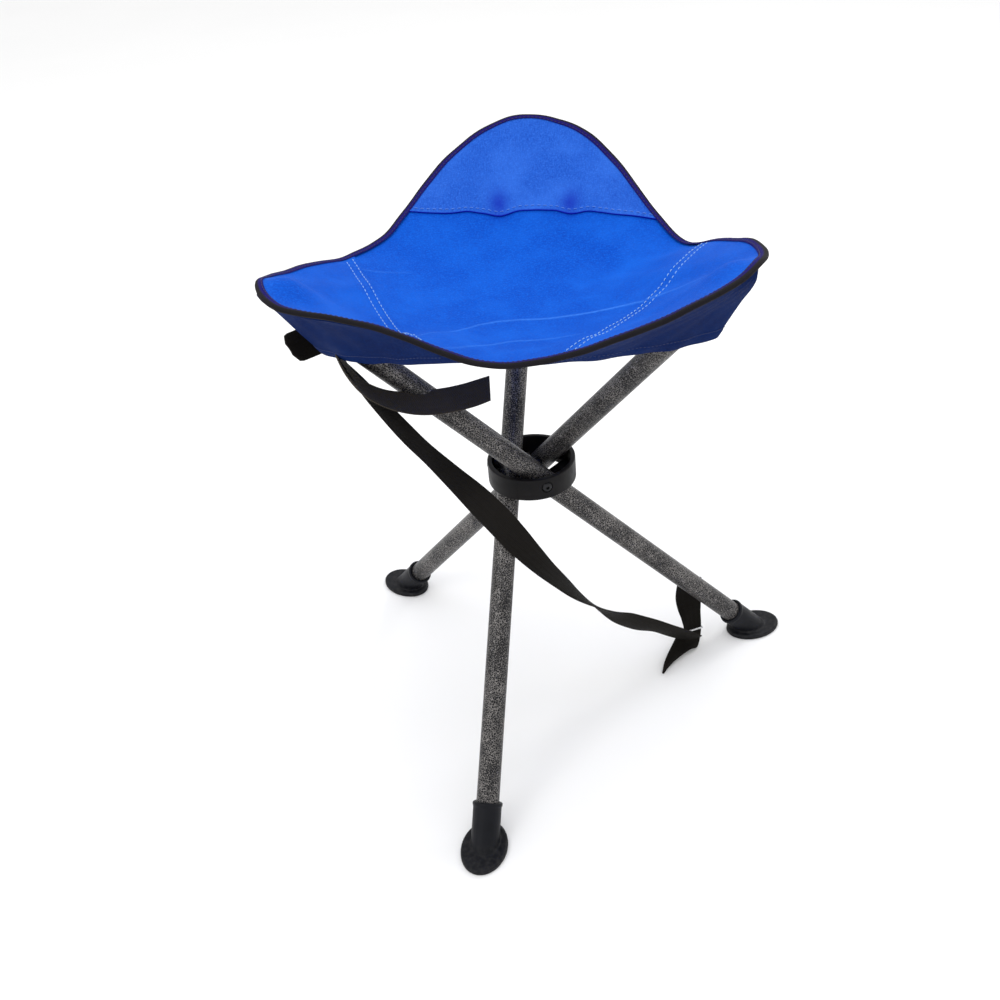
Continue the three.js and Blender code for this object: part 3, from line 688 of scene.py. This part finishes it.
def seat_panel(corner):
    """The third of the seat cloth that belongs to one corner."""
    middle = CORNER_AZIMUTH[corner]
    azimuth = np.linspace(middle - 60, middle + 60, 181)[None, :]
    share = np.linspace(0, 1, 97)[:, None] ** 0.85
    x, y = plan(azimuth, share * seat_edge(azimuth)[0])
    low, high = on_seat(x, y, PANEL_LOW), on_seat(x, y, PANEL_HIGH)
    uv = np.stack([x, y], -1) * MM
    obj = shell(f"seat_panel_{corner}", low, high, uv, wear_and_painted_light_at(x, y))
    return sew(obj, blue_cloth)


# The seam of each corner's second layer: its distance from the centre, its lean, and its gathers
# as [place along the seam, shift outwards, half width].
SEAMS = {
    "rear": (112.6, 0.045, [(-6, 8.6, 30), (52, 3.6, 13), (-55, 1.8, 16)]),
    "left": (106, 0.07, []),
    "right": (107, -0.04, []),
}


def seam_point(corner, along, further=0.0):
    """Plan position on a corner's seam, by the distance along it from its middle."""
    distance, lean, gathers = SEAMS[corner]
    out = distance + lean * along + further
    for centre, shift, half_width in gathers:
        out = out + shift * hump(along - centre, half_width)
    turn = math.radians(CORNER_AZIMUTH[corner])
    return (
        out * math.cos(turn) - along * math.sin(turn),
        out * math.sin(turn) + along * math.cos(turn),
    )


def seam_reach(corner, sign, further=0.0):
    """How far along the seam the edge tape is, on one side."""
    along = np.linspace(0, 160, 641) * sign
    x, y = seam_point(corner, along, further)
    inset = seat_edge(np.degrees(np.arctan2(y, x)))[0] - np.hypot(x, y)
    return along[np.argmax(inset < TAPE_LIP - PATCH_INSET)]


def corner_patch(corner):
    """The second layer on a corner, from its seam out to the tape."""
    along = np.linspace(seam_reach(corner, 1), seam_reach(corner, -1), 121)
    x0, y0 = seam_point(corner, along)
    azimuth = np.degrees(np.arctan2(y0, x0))
    x1, y1 = plan(azimuth, seat_edge(azimuth)[0] - PATCH_INSET)
    out = np.linspace(0, 1, 49)[:, None] ** 1.1
    x, y = x0 + (x1 - x0) * out, y0 + (y1 - y0) * out
    # The hem along the seam is folded under, so it stands a little higher.
    inward = out * np.hypot(x1 - x0, y1 - y0)
    hem = (0.35 if corner == "rear" else 0.15) * hump(inward, 5.0, 4)
    turn = math.radians(CORNER_AZIMUTH[corner])
    cos, sin = math.cos(turn), math.sin(turn)
    uv = np.stack([x * cos + y * sin, y * cos - x * sin], -1) * MM
    low, high = on_seat(x, y, PATCH_LOW + 0 * x), on_seat(x, y, PATCH_HIGH + hem)
    worn = wear_and_painted_light_at(x, y)
    if corner == "rear":
        # Painted shadow: a dark line along the edge of the rear hem.
        worn = worn - hump(inward, 0.5)
    obj = shell(f"corner_patch_{corner}", low, high, uv, worn)
    return sew(obj, lit_rear_cloth if corner == "rear" else blue_cloth)


def lip_share(azimuth):
    """How wide the tape's upper lip is, as a share: it is narrower round the rear tip."""
    return 1 - 0.35 * hump(azimuth - 90, 15)


def edge_tape_part(corner):
    """A third of the tape folded round the edge. Its map runs across from underside to top."""
    middle = CORNER_AZIMUTH[corner]
    azimuth = np.linspace(middle - 60, middle + 60, 181)
    x, y = plan(azimuth, seat_edge(azimuth)[0])
    ahead, behind = (
        np.stack(plan(azimuth + turn, seat_edge(azimuth + turn)[0]), -1) for turn in (0.2, -0.2)
    )
    travel = unit(ahead - behind)
    wander = 0.35 * np.sin(azimuth * 0.61) + 0.2 * np.sin(azimuth * 1.73)
    rings = []
    for out, up in TAPE_SECTION:
        inset = out * 0.85 * (lip_share(azimuth) if up > 2.5 else 1)
        lift = up * (1 + 0.04 * wander) + (0.25 * wander if out < -6 else 0)
        rings.append(on_seat(x + travel[:, 1] * inset, y - travel[:, 0] * inset, lift))
    rings = np.stack(rings, axis=1)
    length = run_along(rings[:, 0])[:, None] * MM
    hidden = len(TAPE_SECTION) - len(TAPE_ACROSS) - 1
    across = TAPE_ACROSS + [TAPE_WIDTH] * hidden + [0.0]
    uv = np.stack(np.broadcast_arrays(np.array(across)[None, :], length), -1).reshape(-1, 2)
    return sew(swept(f"edge_tape_{corner}", rings, uv=uv), edge_tape)


# How far apart stitches are, and each one's length and radius.
SEAM_PITCH, SEAM_STITCH = 5.4, (3.5, 0.36)
TAPE_PITCH, TAPE_STITCH = 3.6, (2.6, 0.28)
POCKET_STITCH = (2.4, 0.3)


def stitched(name, places, size, thread):
    """A running stitch: one loop for each [centre, direction, normal], joined into one piece."""
    length, radius = size
    rings, sides = 7, 6
    along = np.linspace(-0.5, 0.5, rings)
    thick = np.sqrt(np.clip(1 - (2 * along) ** 4, 0.02, 1)) * radius
    arch = (1 - (2 * along) ** 2) * radius * 1.1 - radius * 0.5
    turns = np.linspace(0, 2 * math.pi, sides, endpoint=False)
    verts, faces = [], []
    for centre, direction, normal in places:
        side = np.cross(direction, normal)
        faces += skin(rings, sides, base=len(verts))
        for i in range(rings):
            for turn in turns:
                up = arch[i] + thick[i] * math.sin(turn)
                verts.append(
                    centre + direction * along[i] * length + normal * up
                    + side * thick[i] * math.cos(turn)
                )
    return sew(new_object(name, place(verts), faces), thread)


def stitch_places(line, offset, pitch):
    """Places for stitches along a line in plan, each a pitch apart, lying on the seat."""
    x, y = line
    run = run_along(on_seat(x, y, offset))
    at = np.arange(pitch / 2, run[-1], pitch)

    def on_line(at, offset):
        return on_seat(np.interp(at, run, x), np.interp(at, run, y), offset)

    centre = on_line(at, offset)
    normal = on_line(at, offset + 1.0) - centre
    direction = unit(on_line(at + 1, offset) - on_line(at - 1, offset))
    return list(zip(centre, direction, normal))


def seam_stitches(corner):
    """Two rows of stitches inside the patch's hem, or one at the rear."""
    places = []
    for further in (3.6,) if corner == "rear" else (3.2, 9.5):
        ends = seam_reach(corner, 1, further), seam_reach(corner, -1, further)
        along = np.linspace(ends[0] * 0.97, ends[1] * 0.97, 200)
        raised = PATCH_HIGH + (0.45 if further < 5 else 0.05)
        places += stitch_places(seam_point(corner, along, further), raised, SEAM_PITCH)
    thread = soft_thread if corner == "rear" else pale_thread
    return stitched(f"seam_stitches_{corner}", places, SEAM_STITCH, thread)


def tape_stitches(corner):
    """The row of stitches that holds the tape's upper lip."""
    middle = CORNER_AZIMUTH[corner]
    azimuth = np.linspace(middle - 59.6, middle + 59.6, 400)
    line = plan(azimuth, seat_edge(azimuth)[0] - 4.2 * lip_share(azimuth))
    places = stitch_places(line, 3.35, TAPE_PITCH)
    return stitched(f"tape_stitches_{corner}", places, TAPE_STITCH, black_thread)


# Each pocket's ridge under the tube, from its tip to its hem: [distance from the axis, height].
POCKET_RIDGES = {
    "rear": [(198, 466), (201, 454), (198, 443), (188, 427), (167, 399)],
    "left": [(201, 452), (198, 446), (190, 436.5), (176.5, 416), (163, 397)],
    "right": [(200, 457), (199.5, 451), (195.5, 443), (188, 431.5), (171.5, 402.4)],
}
# How far the pocket spreads each side of the ridge, in degrees, at its tip and at its hem.
POCKET_START, POCKET_END, HEM_START = 0.8, 51, 0.93
# How far each pocket's hem hangs below a straight line.
POCKET_SAG = {"rear": 3.0, "left": 5.5, "right": 3.0}


def grid_normals(grid):
    normal = np.cross(np.gradient(grid, axis=1), np.gradient(grid, axis=0))
    return normal / np.maximum(np.linalg.norm(normal, axis=-1, keepdims=True), 1e-9)


def corner_pocket(corner):
    """The pocket sewn under a corner, which the tube's end pushes into."""
    middle = CORNER_AZIMUTH[corner]
    rows, columns = 57, 97
    down = np.linspace(0, 1, rows)[:, None]
    side = np.linspace(-1, 1, columns)[None, :]
    ridge = catmull(POCKET_RIDGES[corner], rows)
    bottom = np.stack([*plan(middle, ridge[:, 0]), ridge[:, 1]], -1)[:, None, :]
    half_angle = np.linspace(POCKET_START, POCKET_END, rows)[:, None]
    azimuth = middle - np.sign(side) * half_angle
    hung = on_seat(*plan(azimuth, seat_edge(azimuth)[0] - 6.6), -0.9 + 0 * azimuth)
    grid = bottom + (hung - bottom) * (np.abs(side) ** 1.25)[..., None]
    grid[..., 2] -= POCKET_SAG[corner] * np.sin(math.pi * np.abs(side) ** 0.75) * down**2
    # Slack between the seams, and wrinkles that run down from the tape to the ridge.
    slack = np.sin(math.pi * np.clip(np.abs(side), 0, 1)) * down
    wrinkles = 0.7 * np.sin(side * 17 + half_angle * 0.16)
    wrinkles = wrinkles + 0.4 * np.sin(side * 31 - half_angle * 0.3)
    grid = grid + grid_normals(grid) * (slack * (1.2 + wrinkles))[..., None]
    normal = grid_normals(grid)
    hem = down * np.ones_like(side) > HEM_START
    outer = 0.5 + 0.6 * hem
    run = np.linalg.norm(np.diff(grid, axis=1), axis=-1).cumsum(axis=1)
    u = np.concatenate([np.zeros((rows, 1)), run], axis=1)
    v = np.broadcast_to(ridge[:, 1:2] * 1.4, u.shape)
    uv = np.stack([u, v], -1) * MM
    low, high = grid - normal * 0.5, grid + normal * outer[..., None]
    obj = sew(shell(f"corner_pocket_{corner}", low, high, uv), navy_cloth)
    row = int(rows * HEM_START) - 1
    places = []
    for k in range(3, columns - 3):
        direction = unit(grid[row, k + 1] - grid[row, k - 1])
        places.append((grid[row, k] + normal[row, k] * 0.5, direction, normal[row, k]))
    return obj, stitched(f"pocket_stitches_{corner}", places, POCKET_STITCH, deep_thread)


# ---- webbing


# The spacing of a strap's rings, and the length of a slanting cut.
RIBBON_STEP, SLANT_LENGTH = 3.0, 14


def ribbon(name, made_of, route, point_end=0.0, round_end=0.0, curl_end=0.0, slant_end=0.0):
    """A flat strap along listed points. Near its end it may narrow to a point, be cut round or
    slanting, or curl up lengthwise. Returns the strap and its length."""
    points, wides = np.hsplit(np.array(route, float), 2)
    rough = np.linalg.norm(np.diff(points, axis=0), axis=1).sum()
    samples = int(rough / RIBBON_STEP) + 1
    centre, wide = catmull(points, samples), catmull(wides, samples)
    travel = unit(np.gradient(centre, axis=0))
    wide = unit(wide - travel * (wide * travel).sum(1, keepdims=True))
    up = np.cross(travel, wide)
    run = run_along(centre)
    left = run[-1] - run
    width = np.full(samples, float(WEBBING_WIDTH))
    if point_end:
        width *= np.clip(left / point_end, 0.03, 1) ** 0.8
    if round_end:
        width *= 0.45 + 0.55 * np.sqrt(1 - (1 - np.clip(left / round_end, 0, 1)) ** 2)
    curl = 0.22 + 0.12 * np.sin(run / 31.0)
    if curl_end:
        curl += np.clip(1 - left / curl_end, 0, 1) * 1.3
    across = np.linspace(-1, 1, 17)
    half = WEBBING_THICKNESS / 2 * (1 - 0.5 * np.abs(across) ** 12)
    ripple = 0.35 * np.sin(run / 13.0) + 0.2 * np.sin(run / 7.3)
    rings, uv = [], []
    for i in range(samples):
        # The section is an arc of the strap's own width, so a curl doesn't stretch it.
        bend = width[i] / 2 / curl[i]
        slant = slant_end * np.clip(1 - left[i] / SLANT_LENGTH, 0, 1)
        angles = across * curl[i]
        out = bend * np.sin(angles)
        lift = bend * (np.cos(curl[i] * 0.55) - np.cos(angles)) + ripple[i] * across * 0.6
        outwards = np.stack([-np.sin(angles), np.cos(angles)], -1)
        ring = []
        for sign in (1, -1):
            for k in range(len(across))[::sign]:
                w = out[k] + outwards[k, 0] * half[k] * sign
                h = lift[k] + outwards[k, 1] * half[k] * sign
                ring.append(centre[i] + wide[i] * w + up[i] * h + travel[i] * w * slant)
                u = across[k] * width[i] / 2 + WEBBING_WIDTH / 2
                uv.append((u * MM, run[i] * MM))
        rings.append(ring)
    obj = swept(name, np.array(rings), uv=np.array(uv), sharp=70)
    obj.data.materials.append(made_of)
    return obj, run[-1]


# Each point of a strap's route is followed by the direction of the strap's width there.
# From the left pocket's hem, in front of two legs, round a half twist and down to the slider.
CARRY_ROUTE = [
    (-141.4, -59, 398, 0.26, 0.24, -0.94), (-127.7, -78.9, 385.5, -0.05, 0.84, -0.54),
    (-114.2, -82.8, 365.6, -0.1, 0.99, -0.08), (-100.6, -82, 344.1, -0.03, 1, 0.06),
    (-86.8, -79.5, 322.4, -0.05, 0.99, 0.12), (-72.7, -75.9, 301.1, -0.03, 0.99, 0.16),
    (-58.5, -72.1, 280, 0.09, 0.97, 0.23), (-44.4, -68.4, 259.1, 0.3, 0.89, 0.32),
    (-32.8, -61.4, 238.1, 0.46, 0.73, 0.51), (-23, -52.8, 217, 0.62, 0.58, 0.5),
    (-12.9, -46.2, 195.6, 0.52, 0.71, 0.46), (-0.8, -41.5, 174, 0.27, 0.9, 0.35),
    (12.9, -36.8, 152.7, 0.03, 0.97, 0.24), (27.8, -31.7, 131.8, -0.22, 0.97, 0.1),
    (43.5, -25.7, 111.9, -0.48, 0.87, -0.14), (59.8, -18.5, 93.3, -0.72, 0.6, -0.36),
    (76.2, -9.6, 76.3, -0.76, 0.23, -0.61), (92.7, 0.9, 60.5, -0.73, 0.15, -0.67),
    (109, 13.2, 45.3, -0.78, 0.3, -0.55), (125, 26.3, 28, -0.78, 0.31, -0.54),
    (138.2, 37.4, 13, -0.79, 0.33, -0.51),
]
# From the rivet behind the right leg, down through the slider to a pointed tail on the floor.
LEG_ROUTE = [
    (136.8, 53.4, 74, 0.91, 0.415, 0), (135.2, 53.6, 64, 0.91, 0.415, 0),
    (134.9, 54.8, 52, 0.93, 0.36, -0.05), (136.3, 54.6, 41, 0.92, 0.38, -0.08),
    (137.8, 52.4, 30, 0.76, 0.63, -0.09), (139, 49.7, 19, 0.69, 0.68, -0.22),
    (138.4, 46.5, 11, 0.74, 0.6, -0.26), (134, 40.5, 6.2, 0.82, 0.15, -0.12),
    (127.5, 31, 4.6, 0.88, -0.3, 0), (120.5, 20.5, 3.8, 0.88, -0.42, 0),
    (114.5, 9.5, 3.4, 0.9, -0.42, 0), (110.5, -1.5, 3.2, 0.9, -0.36, 0),
]
# From the same hem, across the front of the rear leg, to a cut end.
CLOSING_ROUTE = [
    (-136, -65.1, 401.4, 0.08, 0.26, -0.96), (-128.6, -82, 393.1, 0.1, 0.62, -0.78),
    (-120.4, -91.2, 381.5, -0.01, 0.91, -0.42), (-111.1, -92.8, 369.5, -0.2, 0.98, -0.05),
    (-98.8, -88.4, 358.3, -0.33, 0.93, 0.17), (-85.2, -80.6, 349.6, -0.4, 0.87, 0.28),
    (-70.6, -71.4, 344, -0.41, 0.84, 0.36), (-55.1, -62.7, 341.1, -0.4, 0.83, 0.39),
    (-39, -55.2, 340.9, -0.41, 0.84, 0.36), (-22.3, -48.4, 343.2, -0.44, 0.85, 0.28),
]
# A short end that sticks out beside the pocket's ridge.
TAB_ROUTE = [
    (-143.6, -60.7, 399, -0.47, 0.52, 0.71), (-151.1, -67.6, 398.6, -0.49, 0.48, 0.73),
    (-157.6, -75.3, 399, -0.52, 0.45, 0.72), (-163.8, -84.3, 400.2, -0.57, 0.45, 0.68),
]

# ---- legs and hub


def leg_matrices(name):
    """The leg's upright frame at its pivot and the frame that leans with its tube, in millimetres
    about the hub's axis. X points out along the bolt, and the leaning Z up the tube."""
    joint = next(j for j in frame["joints"] if j["name"] == f"fold_{name}")
    pivot = (np.array(joint["pos_m"]) - HUB_AXIS) / MM
    out = Vector((pivot[0], pivot[1], 0)).normalized()
    basis = Matrix((out, Vector((0, 0, 1)).cross(out), Vector((0, 0, 1)))).transposed().to_4x4()
    upright = Matrix.Translation(pivot) @ basis
    return upright, upright @ Matrix.Rotation(LEG_LEAN, 4, "X")


ALONG_X = Matrix.Rotation(math.pi / 2, 4, "Y")


def finish_part(obj, slot, body, node=None):
    """Gives a hard part its material and slot, its body and the node it replaces."""
    obj.data.materials.clear()
    obj.data.materials.append(hard[slot])
    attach(obj, body)
    if node:
        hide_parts(node)


def leg_tube(name, leaning):
    inner = TUBE_RADIUS - TUBE_WALL
    profile = [(inner, 0), (inner, -TUBE_DOWN), (TUBE_RADIUS, -TUBE_DOWN), (TUBE_RADIUS, TUBE_UP),
               (inner, TUBE_UP), (inner, 0)]
    tube = turned(f"leg_tube_{name}", rounded(profile, 0.35, 3), leaning, 72)
    carve(tube, rod("hole", BORE_RADIUS, -20, 20, leaning @ ALONG_X, 32))
    soften(tube)
    finish_part(tube, "tube_paint", f"leg_{name}", f"tube_{name}")


def tube_plug(name, leaning):
    stem, base = TUBE_RADIUS - TUBE_WALL - 0.3, TUBE_UP + 0.3
    profile = [(0, TUBE_UP - 16), (stem, TUBE_UP - 16), (stem, base), (TUBE_RADIUS, base),
               (TUBE_RADIUS - 0.6, base + 1.8), (TUBE_RADIUS - 3, base + 2.8), (0, base + 3)]
    plug = turned(f"tube_plug_{name}", rounded(profile, 0.5), leaning, 48)
    soften(plug)
    finish_part(plug, "black_plastic", f"leg_{name}", f"end_plug_{name}")


# The groove round each foot's sole, and the sole's height, in metres.
GROOVE_HEIGHT, GROOVE_SIZE, SOLE_HEIGHT = 0.0021, 0.0006, 0.0042


def rubber_foot(name):
    """The CAD foot, remeshed finely so that its sole and sleeve flow into each other."""
    foot = link(f"rubber_foot_{name}", frame["nodes"][f"foot_{name}"].data.copy())
    foot.data.materials.clear()
    grain = foot.modifiers.new("remesh", "REMESH")
    grain.mode, grain.voxel_size = "VOXEL", 0.0007
    smooth = foot.modifiers.new("smooth", "SMOOTH")
    smooth.factor, smooth.iterations = 0.5, 9
    freeze(foot)
    # A groove round the sole's wall.
    points = np.zeros(len(foot.data.vertices) * 3)
    foot.data.vertices.foreach_get("co", points)
    points = points.reshape(-1, 3)
    low = points[points[:, 2] < SOLE_HEIGHT]
    centre = (low.min(0) + low.max(0))[:2] / 2
    inward = centre - points[:, :2]
    away = np.linalg.norm(inward, axis=1, keepdims=True)
    outer = np.clip((away[:, 0] - 0.0165) / 0.003, 0, 1)
    groove = hump(points[:, 2] - GROOVE_HEIGHT, GROOVE_SIZE) * outer
    points[:, :2] += inward / np.maximum(away, 1e-6) * (groove * GROOVE_SIZE)[:, None]
    points[:, 2] = np.maximum(points[:, 2], 0.0)
    foot.data.vertices.foreach_set("co", points.ravel())
    foot.data.shade_smooth()
    finish_part(foot, "foot_rubber", f"leg_{name}", f"foot_{name}")


def hub_ring(uprights):
    inner, middle = HUB_RADIUS - HUB_WALL, PIVOT_HEIGHT - HUB_DROP
    low, high = middle - HUB_HEIGHT / 2, middle + HUB_HEIGHT / 2
    section = [(inner, middle), (inner, low), (HUB_RADIUS, low), (HUB_RADIUS, high),
               (inner, high), (inner, middle)]
    ring = turned("hub_ring_body", rounded(section, 1.1, 5), Matrix.Identity(4), 160)
    floor, past = COUNTERBORE_FLOOR - PIVOT_OFFSET, 30
    cutters = []
    for upright in uprights.values():
        cutters.append(rod("bore", BORE_RADIUS, 0, past, upright @ ALONG_X, 32))
        cutters.append(rod("step", COUNTERBORE_RADIUS, floor, past, upright @ ALONG_X, 48))
    carve(ring, *cutters)
    soften(ring)
    finish_part(hub_web(uprights, inner, low), "black_plastic", "hub")
    finish_part(ring, "black_plastic", "hub", "hub_ring")


def hub_web(uprights, inner, low):
    """The web across the bottom of the ring, with a slot for each tube to swing in."""
    drop, clearance, folded = PIVOT_HEIGHT - low, 0.8, LEG_LEAN - FOLD_ANGLE
    open_reach = drop * math.tan(LEG_LEAN) + TUBE_RADIUS / math.cos(LEG_LEAN) + clearance
    folded_reach = TUBE_RADIUS / math.cos(folded) - (drop - WEB_THICKNESS) * math.tan(folded)
    folded_reach += clearance
    half_width = TUBE_RADIUS + clearance
    web = rod("hub_web", inner + 0.4, low + 0.2, low + WEB_THICKNESS, Matrix.Identity(4), 96)
    slots = []
    for upright in uprights.values():
        points = [
            tuple(upright @ Vector((x, y, z)))
            for x in (-half_width, half_width)
            for y in (-folded_reach, open_reach)
            for z in (-drop - 5, -drop + 8)
        ]
        faces = [(0, 1, 3, 2), (4, 6, 7, 5), (0, 4, 5, 1), (2, 3, 7, 6), (0, 2, 6, 4), (1, 5, 7, 3)]
        slots.append(new_object("slot", place(points), faces))
    carve(web, *slots)
    edges = web.modifiers.new("edges", "BEVEL")
    edges.width, edges.segments, edges.limit_method = 0.0004, 2, "ANGLE"
    freeze(web)
    soften(web)
    return web


def pivot_bolt(name, upright):
    """A button-head bolt with a hexagonal socket. Its shank starts inside the lock nut."""
    end = NUT_FACE - 5.9
    head = COUNTERBORE_FLOOR - PIVOT_OFFSET + BOLT_GAP
    top = head + BOLT_HEAD_HEIGHT
    profile = [(0, end), (BOLT_RADIUS - 0.4, end), (BOLT_RADIUS, end + 0.6), (BOLT_RADIUS, head),
               (BOLT_HEAD_RADIUS, head), (BOLT_HEAD_RADIUS, head + 0.7),
               (BOLT_HEAD_RADIUS - 0.5, head + 1.6), (BOLT_HEAD_RADIUS - 1.4, head + 2.3),
               (1.9, top), (0, top)]
    bolt = turned(f"bolt_{name}", rounded(profile, 0.25, 2), upright @ ALONG_X, 48)
    carve(bolt, rod("socket", 1.75, top - 1.7, top + 1, upright @ ALONG_X, 6))
    soften(bolt)
    finish_part(bolt, "black_steel", "hub", f"pivot_bolt_{name}")


def lock_nut(name, upright):
    bore, face = BORE_RADIUS, NUT_FACE
    flats = [(bore, face - 3.9), (4.3, face - 3.9), (4.6, face - 3.5), (4.6, face - 0.4),
             (4.3, face), (bore, face), (bore, face - 3.9)]
    crown = [(bore, face - 3.6), (3.7, face - 3.6), (3.7, face - 4.9), (bore, face - 4.9),
             (bore, face - 3.6)]
    hexagon = turned(f"nut_{name}", flats, upright @ ALONG_X, 6, sharp=25)
    collar = turned("collar", rounded(crown, 0.4), upright @ ALONG_X, 40)
    whole = bmesh.new()
    whole.from_mesh(hexagon.data)
    whole.from_mesh(collar.data)
    whole.to_mesh(hexagon.data)
    whole.free()
    bpy.data.objects.remove(collar)
    finish_part(hexagon, "black_steel", "hub", f"lock_nut_{name}")


def spacer(name, upright):
    bore, start, end = BORE_RADIUS, TUBE_RADIUS + 0.3, SPACER_END - PIVOT_OFFSET
    wall = [(bore, start), (5.5, start), (5.5, end), (bore, end), (bore, start)]
    part = turned(f"washer_{name}", rounded(wall, 0.4), upright @ ALONG_X, 48)
    finish_part(part, "black_plastic", "hub", f"spacer_{name}")


def strap_rivet(leaning):
    outside, inside = -(TUBE_RADIUS + 3.4), -(TUBE_RADIUS - TUBE_WALL - 0.8)
    head = outside - 1.6
    profile = [(0, head), (2.2, head + 0.15), (3.6, head + 0.7), (4.5, outside - 0.3),
               (4.4, outside), (1.8, outside), (1.8, inside), (2.8, inside), (2.4, inside + 2.3),
               (0, inside + 2.7)]
    matrix = leaning @ Matrix.Translation((0, 0, -RIVET_DROP)) @ ALONG_X
    rivet = turned("webbing_rivet", rounded(profile, 0.3, 2), matrix, 40)
    finish_part(rivet, "bright_steel", "leg_right", "strap_rivet")


# The slider's middle, its long side, and the way the leg strap runs through it.
SLIDER_CENTRE = (138.2, 47.6, 15.8)
SLIDER_ALONG, SLIDER_THREAD_WAY = (0.72, 0.62, -0.27), (0.1, 0.33, 0.94)


def strap_slider():
    """A rectangular loop of round wire at the end of the long strap."""
    long_side, short_side, wire, bend = 28.4 / 2, 6.2 / 2, 0.85, 2.2
    outline = []
    for sx, sy, first in ((1, 1, 0), (-1, 1, 90), (-1, -1, 180), (1, -1, 270)):
        for turn in np.radians(np.linspace(first, first + 90, 9)):
            outline.append((sx * (long_side - bend) + bend * math.cos(turn),
                            sy * (short_side - bend) + bend * math.sin(turn)))
    outline = np.array(outline)
    fine = []
    for a, b in zip(outline, np.roll(outline, -1, axis=0)):
        count = max(1, int(np.linalg.norm(b - a) / 2.5))
        fine += [a + (b - a) * i / count for i in range(count)]
    fine = np.array(fine)
    travel = unit(np.roll(fine, -1, axis=0) - np.roll(fine, 1, axis=0))
    outward = np.stack([travel[:, 1], -travel[:, 0]], -1)
    centre = Vector(SLIDER_CENTRE)
    along = Vector(SLIDER_ALONG).normalized()
    thread_way = Vector(SLIDER_THREAD_WAY)
    thread_way = (thread_way - along * thread_way.dot(along)).normalized()
    across = thread_way.cross(along)
    rings = []
    for p, o in zip(fine, outward):
        ring = []
        for a in np.linspace(0, 2 * math.pi, 12, endpoint=False):
            flat = p + o * wire * math.cos(a)
            lift = thread_way * wire * math.sin(a)
            ring.append(tuple(centre + along * flat[0] + across * flat[1] + lift))
        rings.append(ring)
    loop = swept("slider_loop", np.array(rings), closed=True)
    finish_part(loop, "bright_steel", "leg_right", "strap_slider")


# ---- building

uprights, leanings = {}, {}
for leg in LEGS:
    uprights[leg], leanings[leg] = leg_matrices(leg)
    leg_tube(leg, leanings[leg])
    tube_plug(leg, leanings[leg])
    rubber_foot(leg)
    pivot_bolt(leg, uprights[leg])
    lock_nut(leg, uprights[leg])
    spacer(leg, uprights[leg])
hub_ring(uprights)
strap_rivet(leanings["right"])
strap_slider()

for corner in CORNER_AZIMUTH:
    panel = seat_panel(corner)
    patch = corner_patch(corner)
    tape = edge_tape_part(corner)
    pocket, pocket_threads = corner_pocket(corner)
    seam_threads, tape_threads = seam_stitches(corner), tape_stitches(corner)
    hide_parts("seat_panel")
    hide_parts(f"patch_{corner}_corner")
    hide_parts("edge_binding")
    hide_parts(f"pocket_{corner}_corner")

for name, node, made_of, route, holder, ends in (
    ("long_strap", "carry_strap", webbing, CARRY_ROUTE, "corner_pocket_left", {}),
    ("leg_strap", "leg_webbing", webbing, LEG_ROUTE, "webbing_rivet",
     {"point_end": 54, "curl_end": 60}),
    ("tie_strap", "closing_strap", lit_copy_webbing, CLOSING_ROUTE, "corner_pocket_left",
     {"slant_end": 0.3}),
    ("tie_tab", "closing_tab", webbing, TAB_ROUTE, "corner_pocket_left", {"round_end": 7}),
):
    strap, length = ribbon(name, made_of, route, **ends)
    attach(strap, "leg_right")
    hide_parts(node)

# ---- floor, light and camera

floor = new_object("floor", [(-6, -6, 0), (6, -6, 0), (6, 6, 0), (-6, 6, 0)], [(0, 1, 2, 3)])
floor.data.materials.append(material("floor_paint", floor_paint, Roughness=0.8))

world = bpy.data.worlds.new("studio")
world.use_nodes = True
background = world.node_tree.nodes["Background"].inputs
background["Color"].default_value, background["Strength"].default_value = (1, 1, 1, 1), 1.0
bpy.context.scene.world = world


# The point all lamps look at, in metres.
LIT_POINT = (0, 0, 0.3)


def softbox(name, location, size, power):
    light = bpy.data.lights.new(name, "AREA")
    light.shape, light.size, light.energy = "DISK", size, power
    lamp = link(name, light)
    lamp.location = location
    away = Vector(LIT_POINT) - Vector(location)
    lamp.rotation_euler = away.to_track_quat("-Z", "Y").to_euler()


softbox("overhead", (0.2, 0.3, 2.4), 2.2, 18)
softbox("front_left", (-1.5, -1.5, 1.9), 1.2, 12)
softbox("back_right", (1.3, 1.5, 1.5), 0.7, 8)

camera = link("camera", bpy.data.cameras.new("camera"))
camera.location = (0.0840, -0.8344, 0.7893)
camera.rotation_euler = [math.radians(a) for a in (57.661, 4.243, 5.159)]
camera.data.sensor_width = 36
camera.data.lens = 42.586
camera.data.shift_x, camera.data.shift_y = -0.0097, -0.0448
bpy.context.scene.camera = camera
bpy.context.scene.view_settings.view_transform = "Standard"
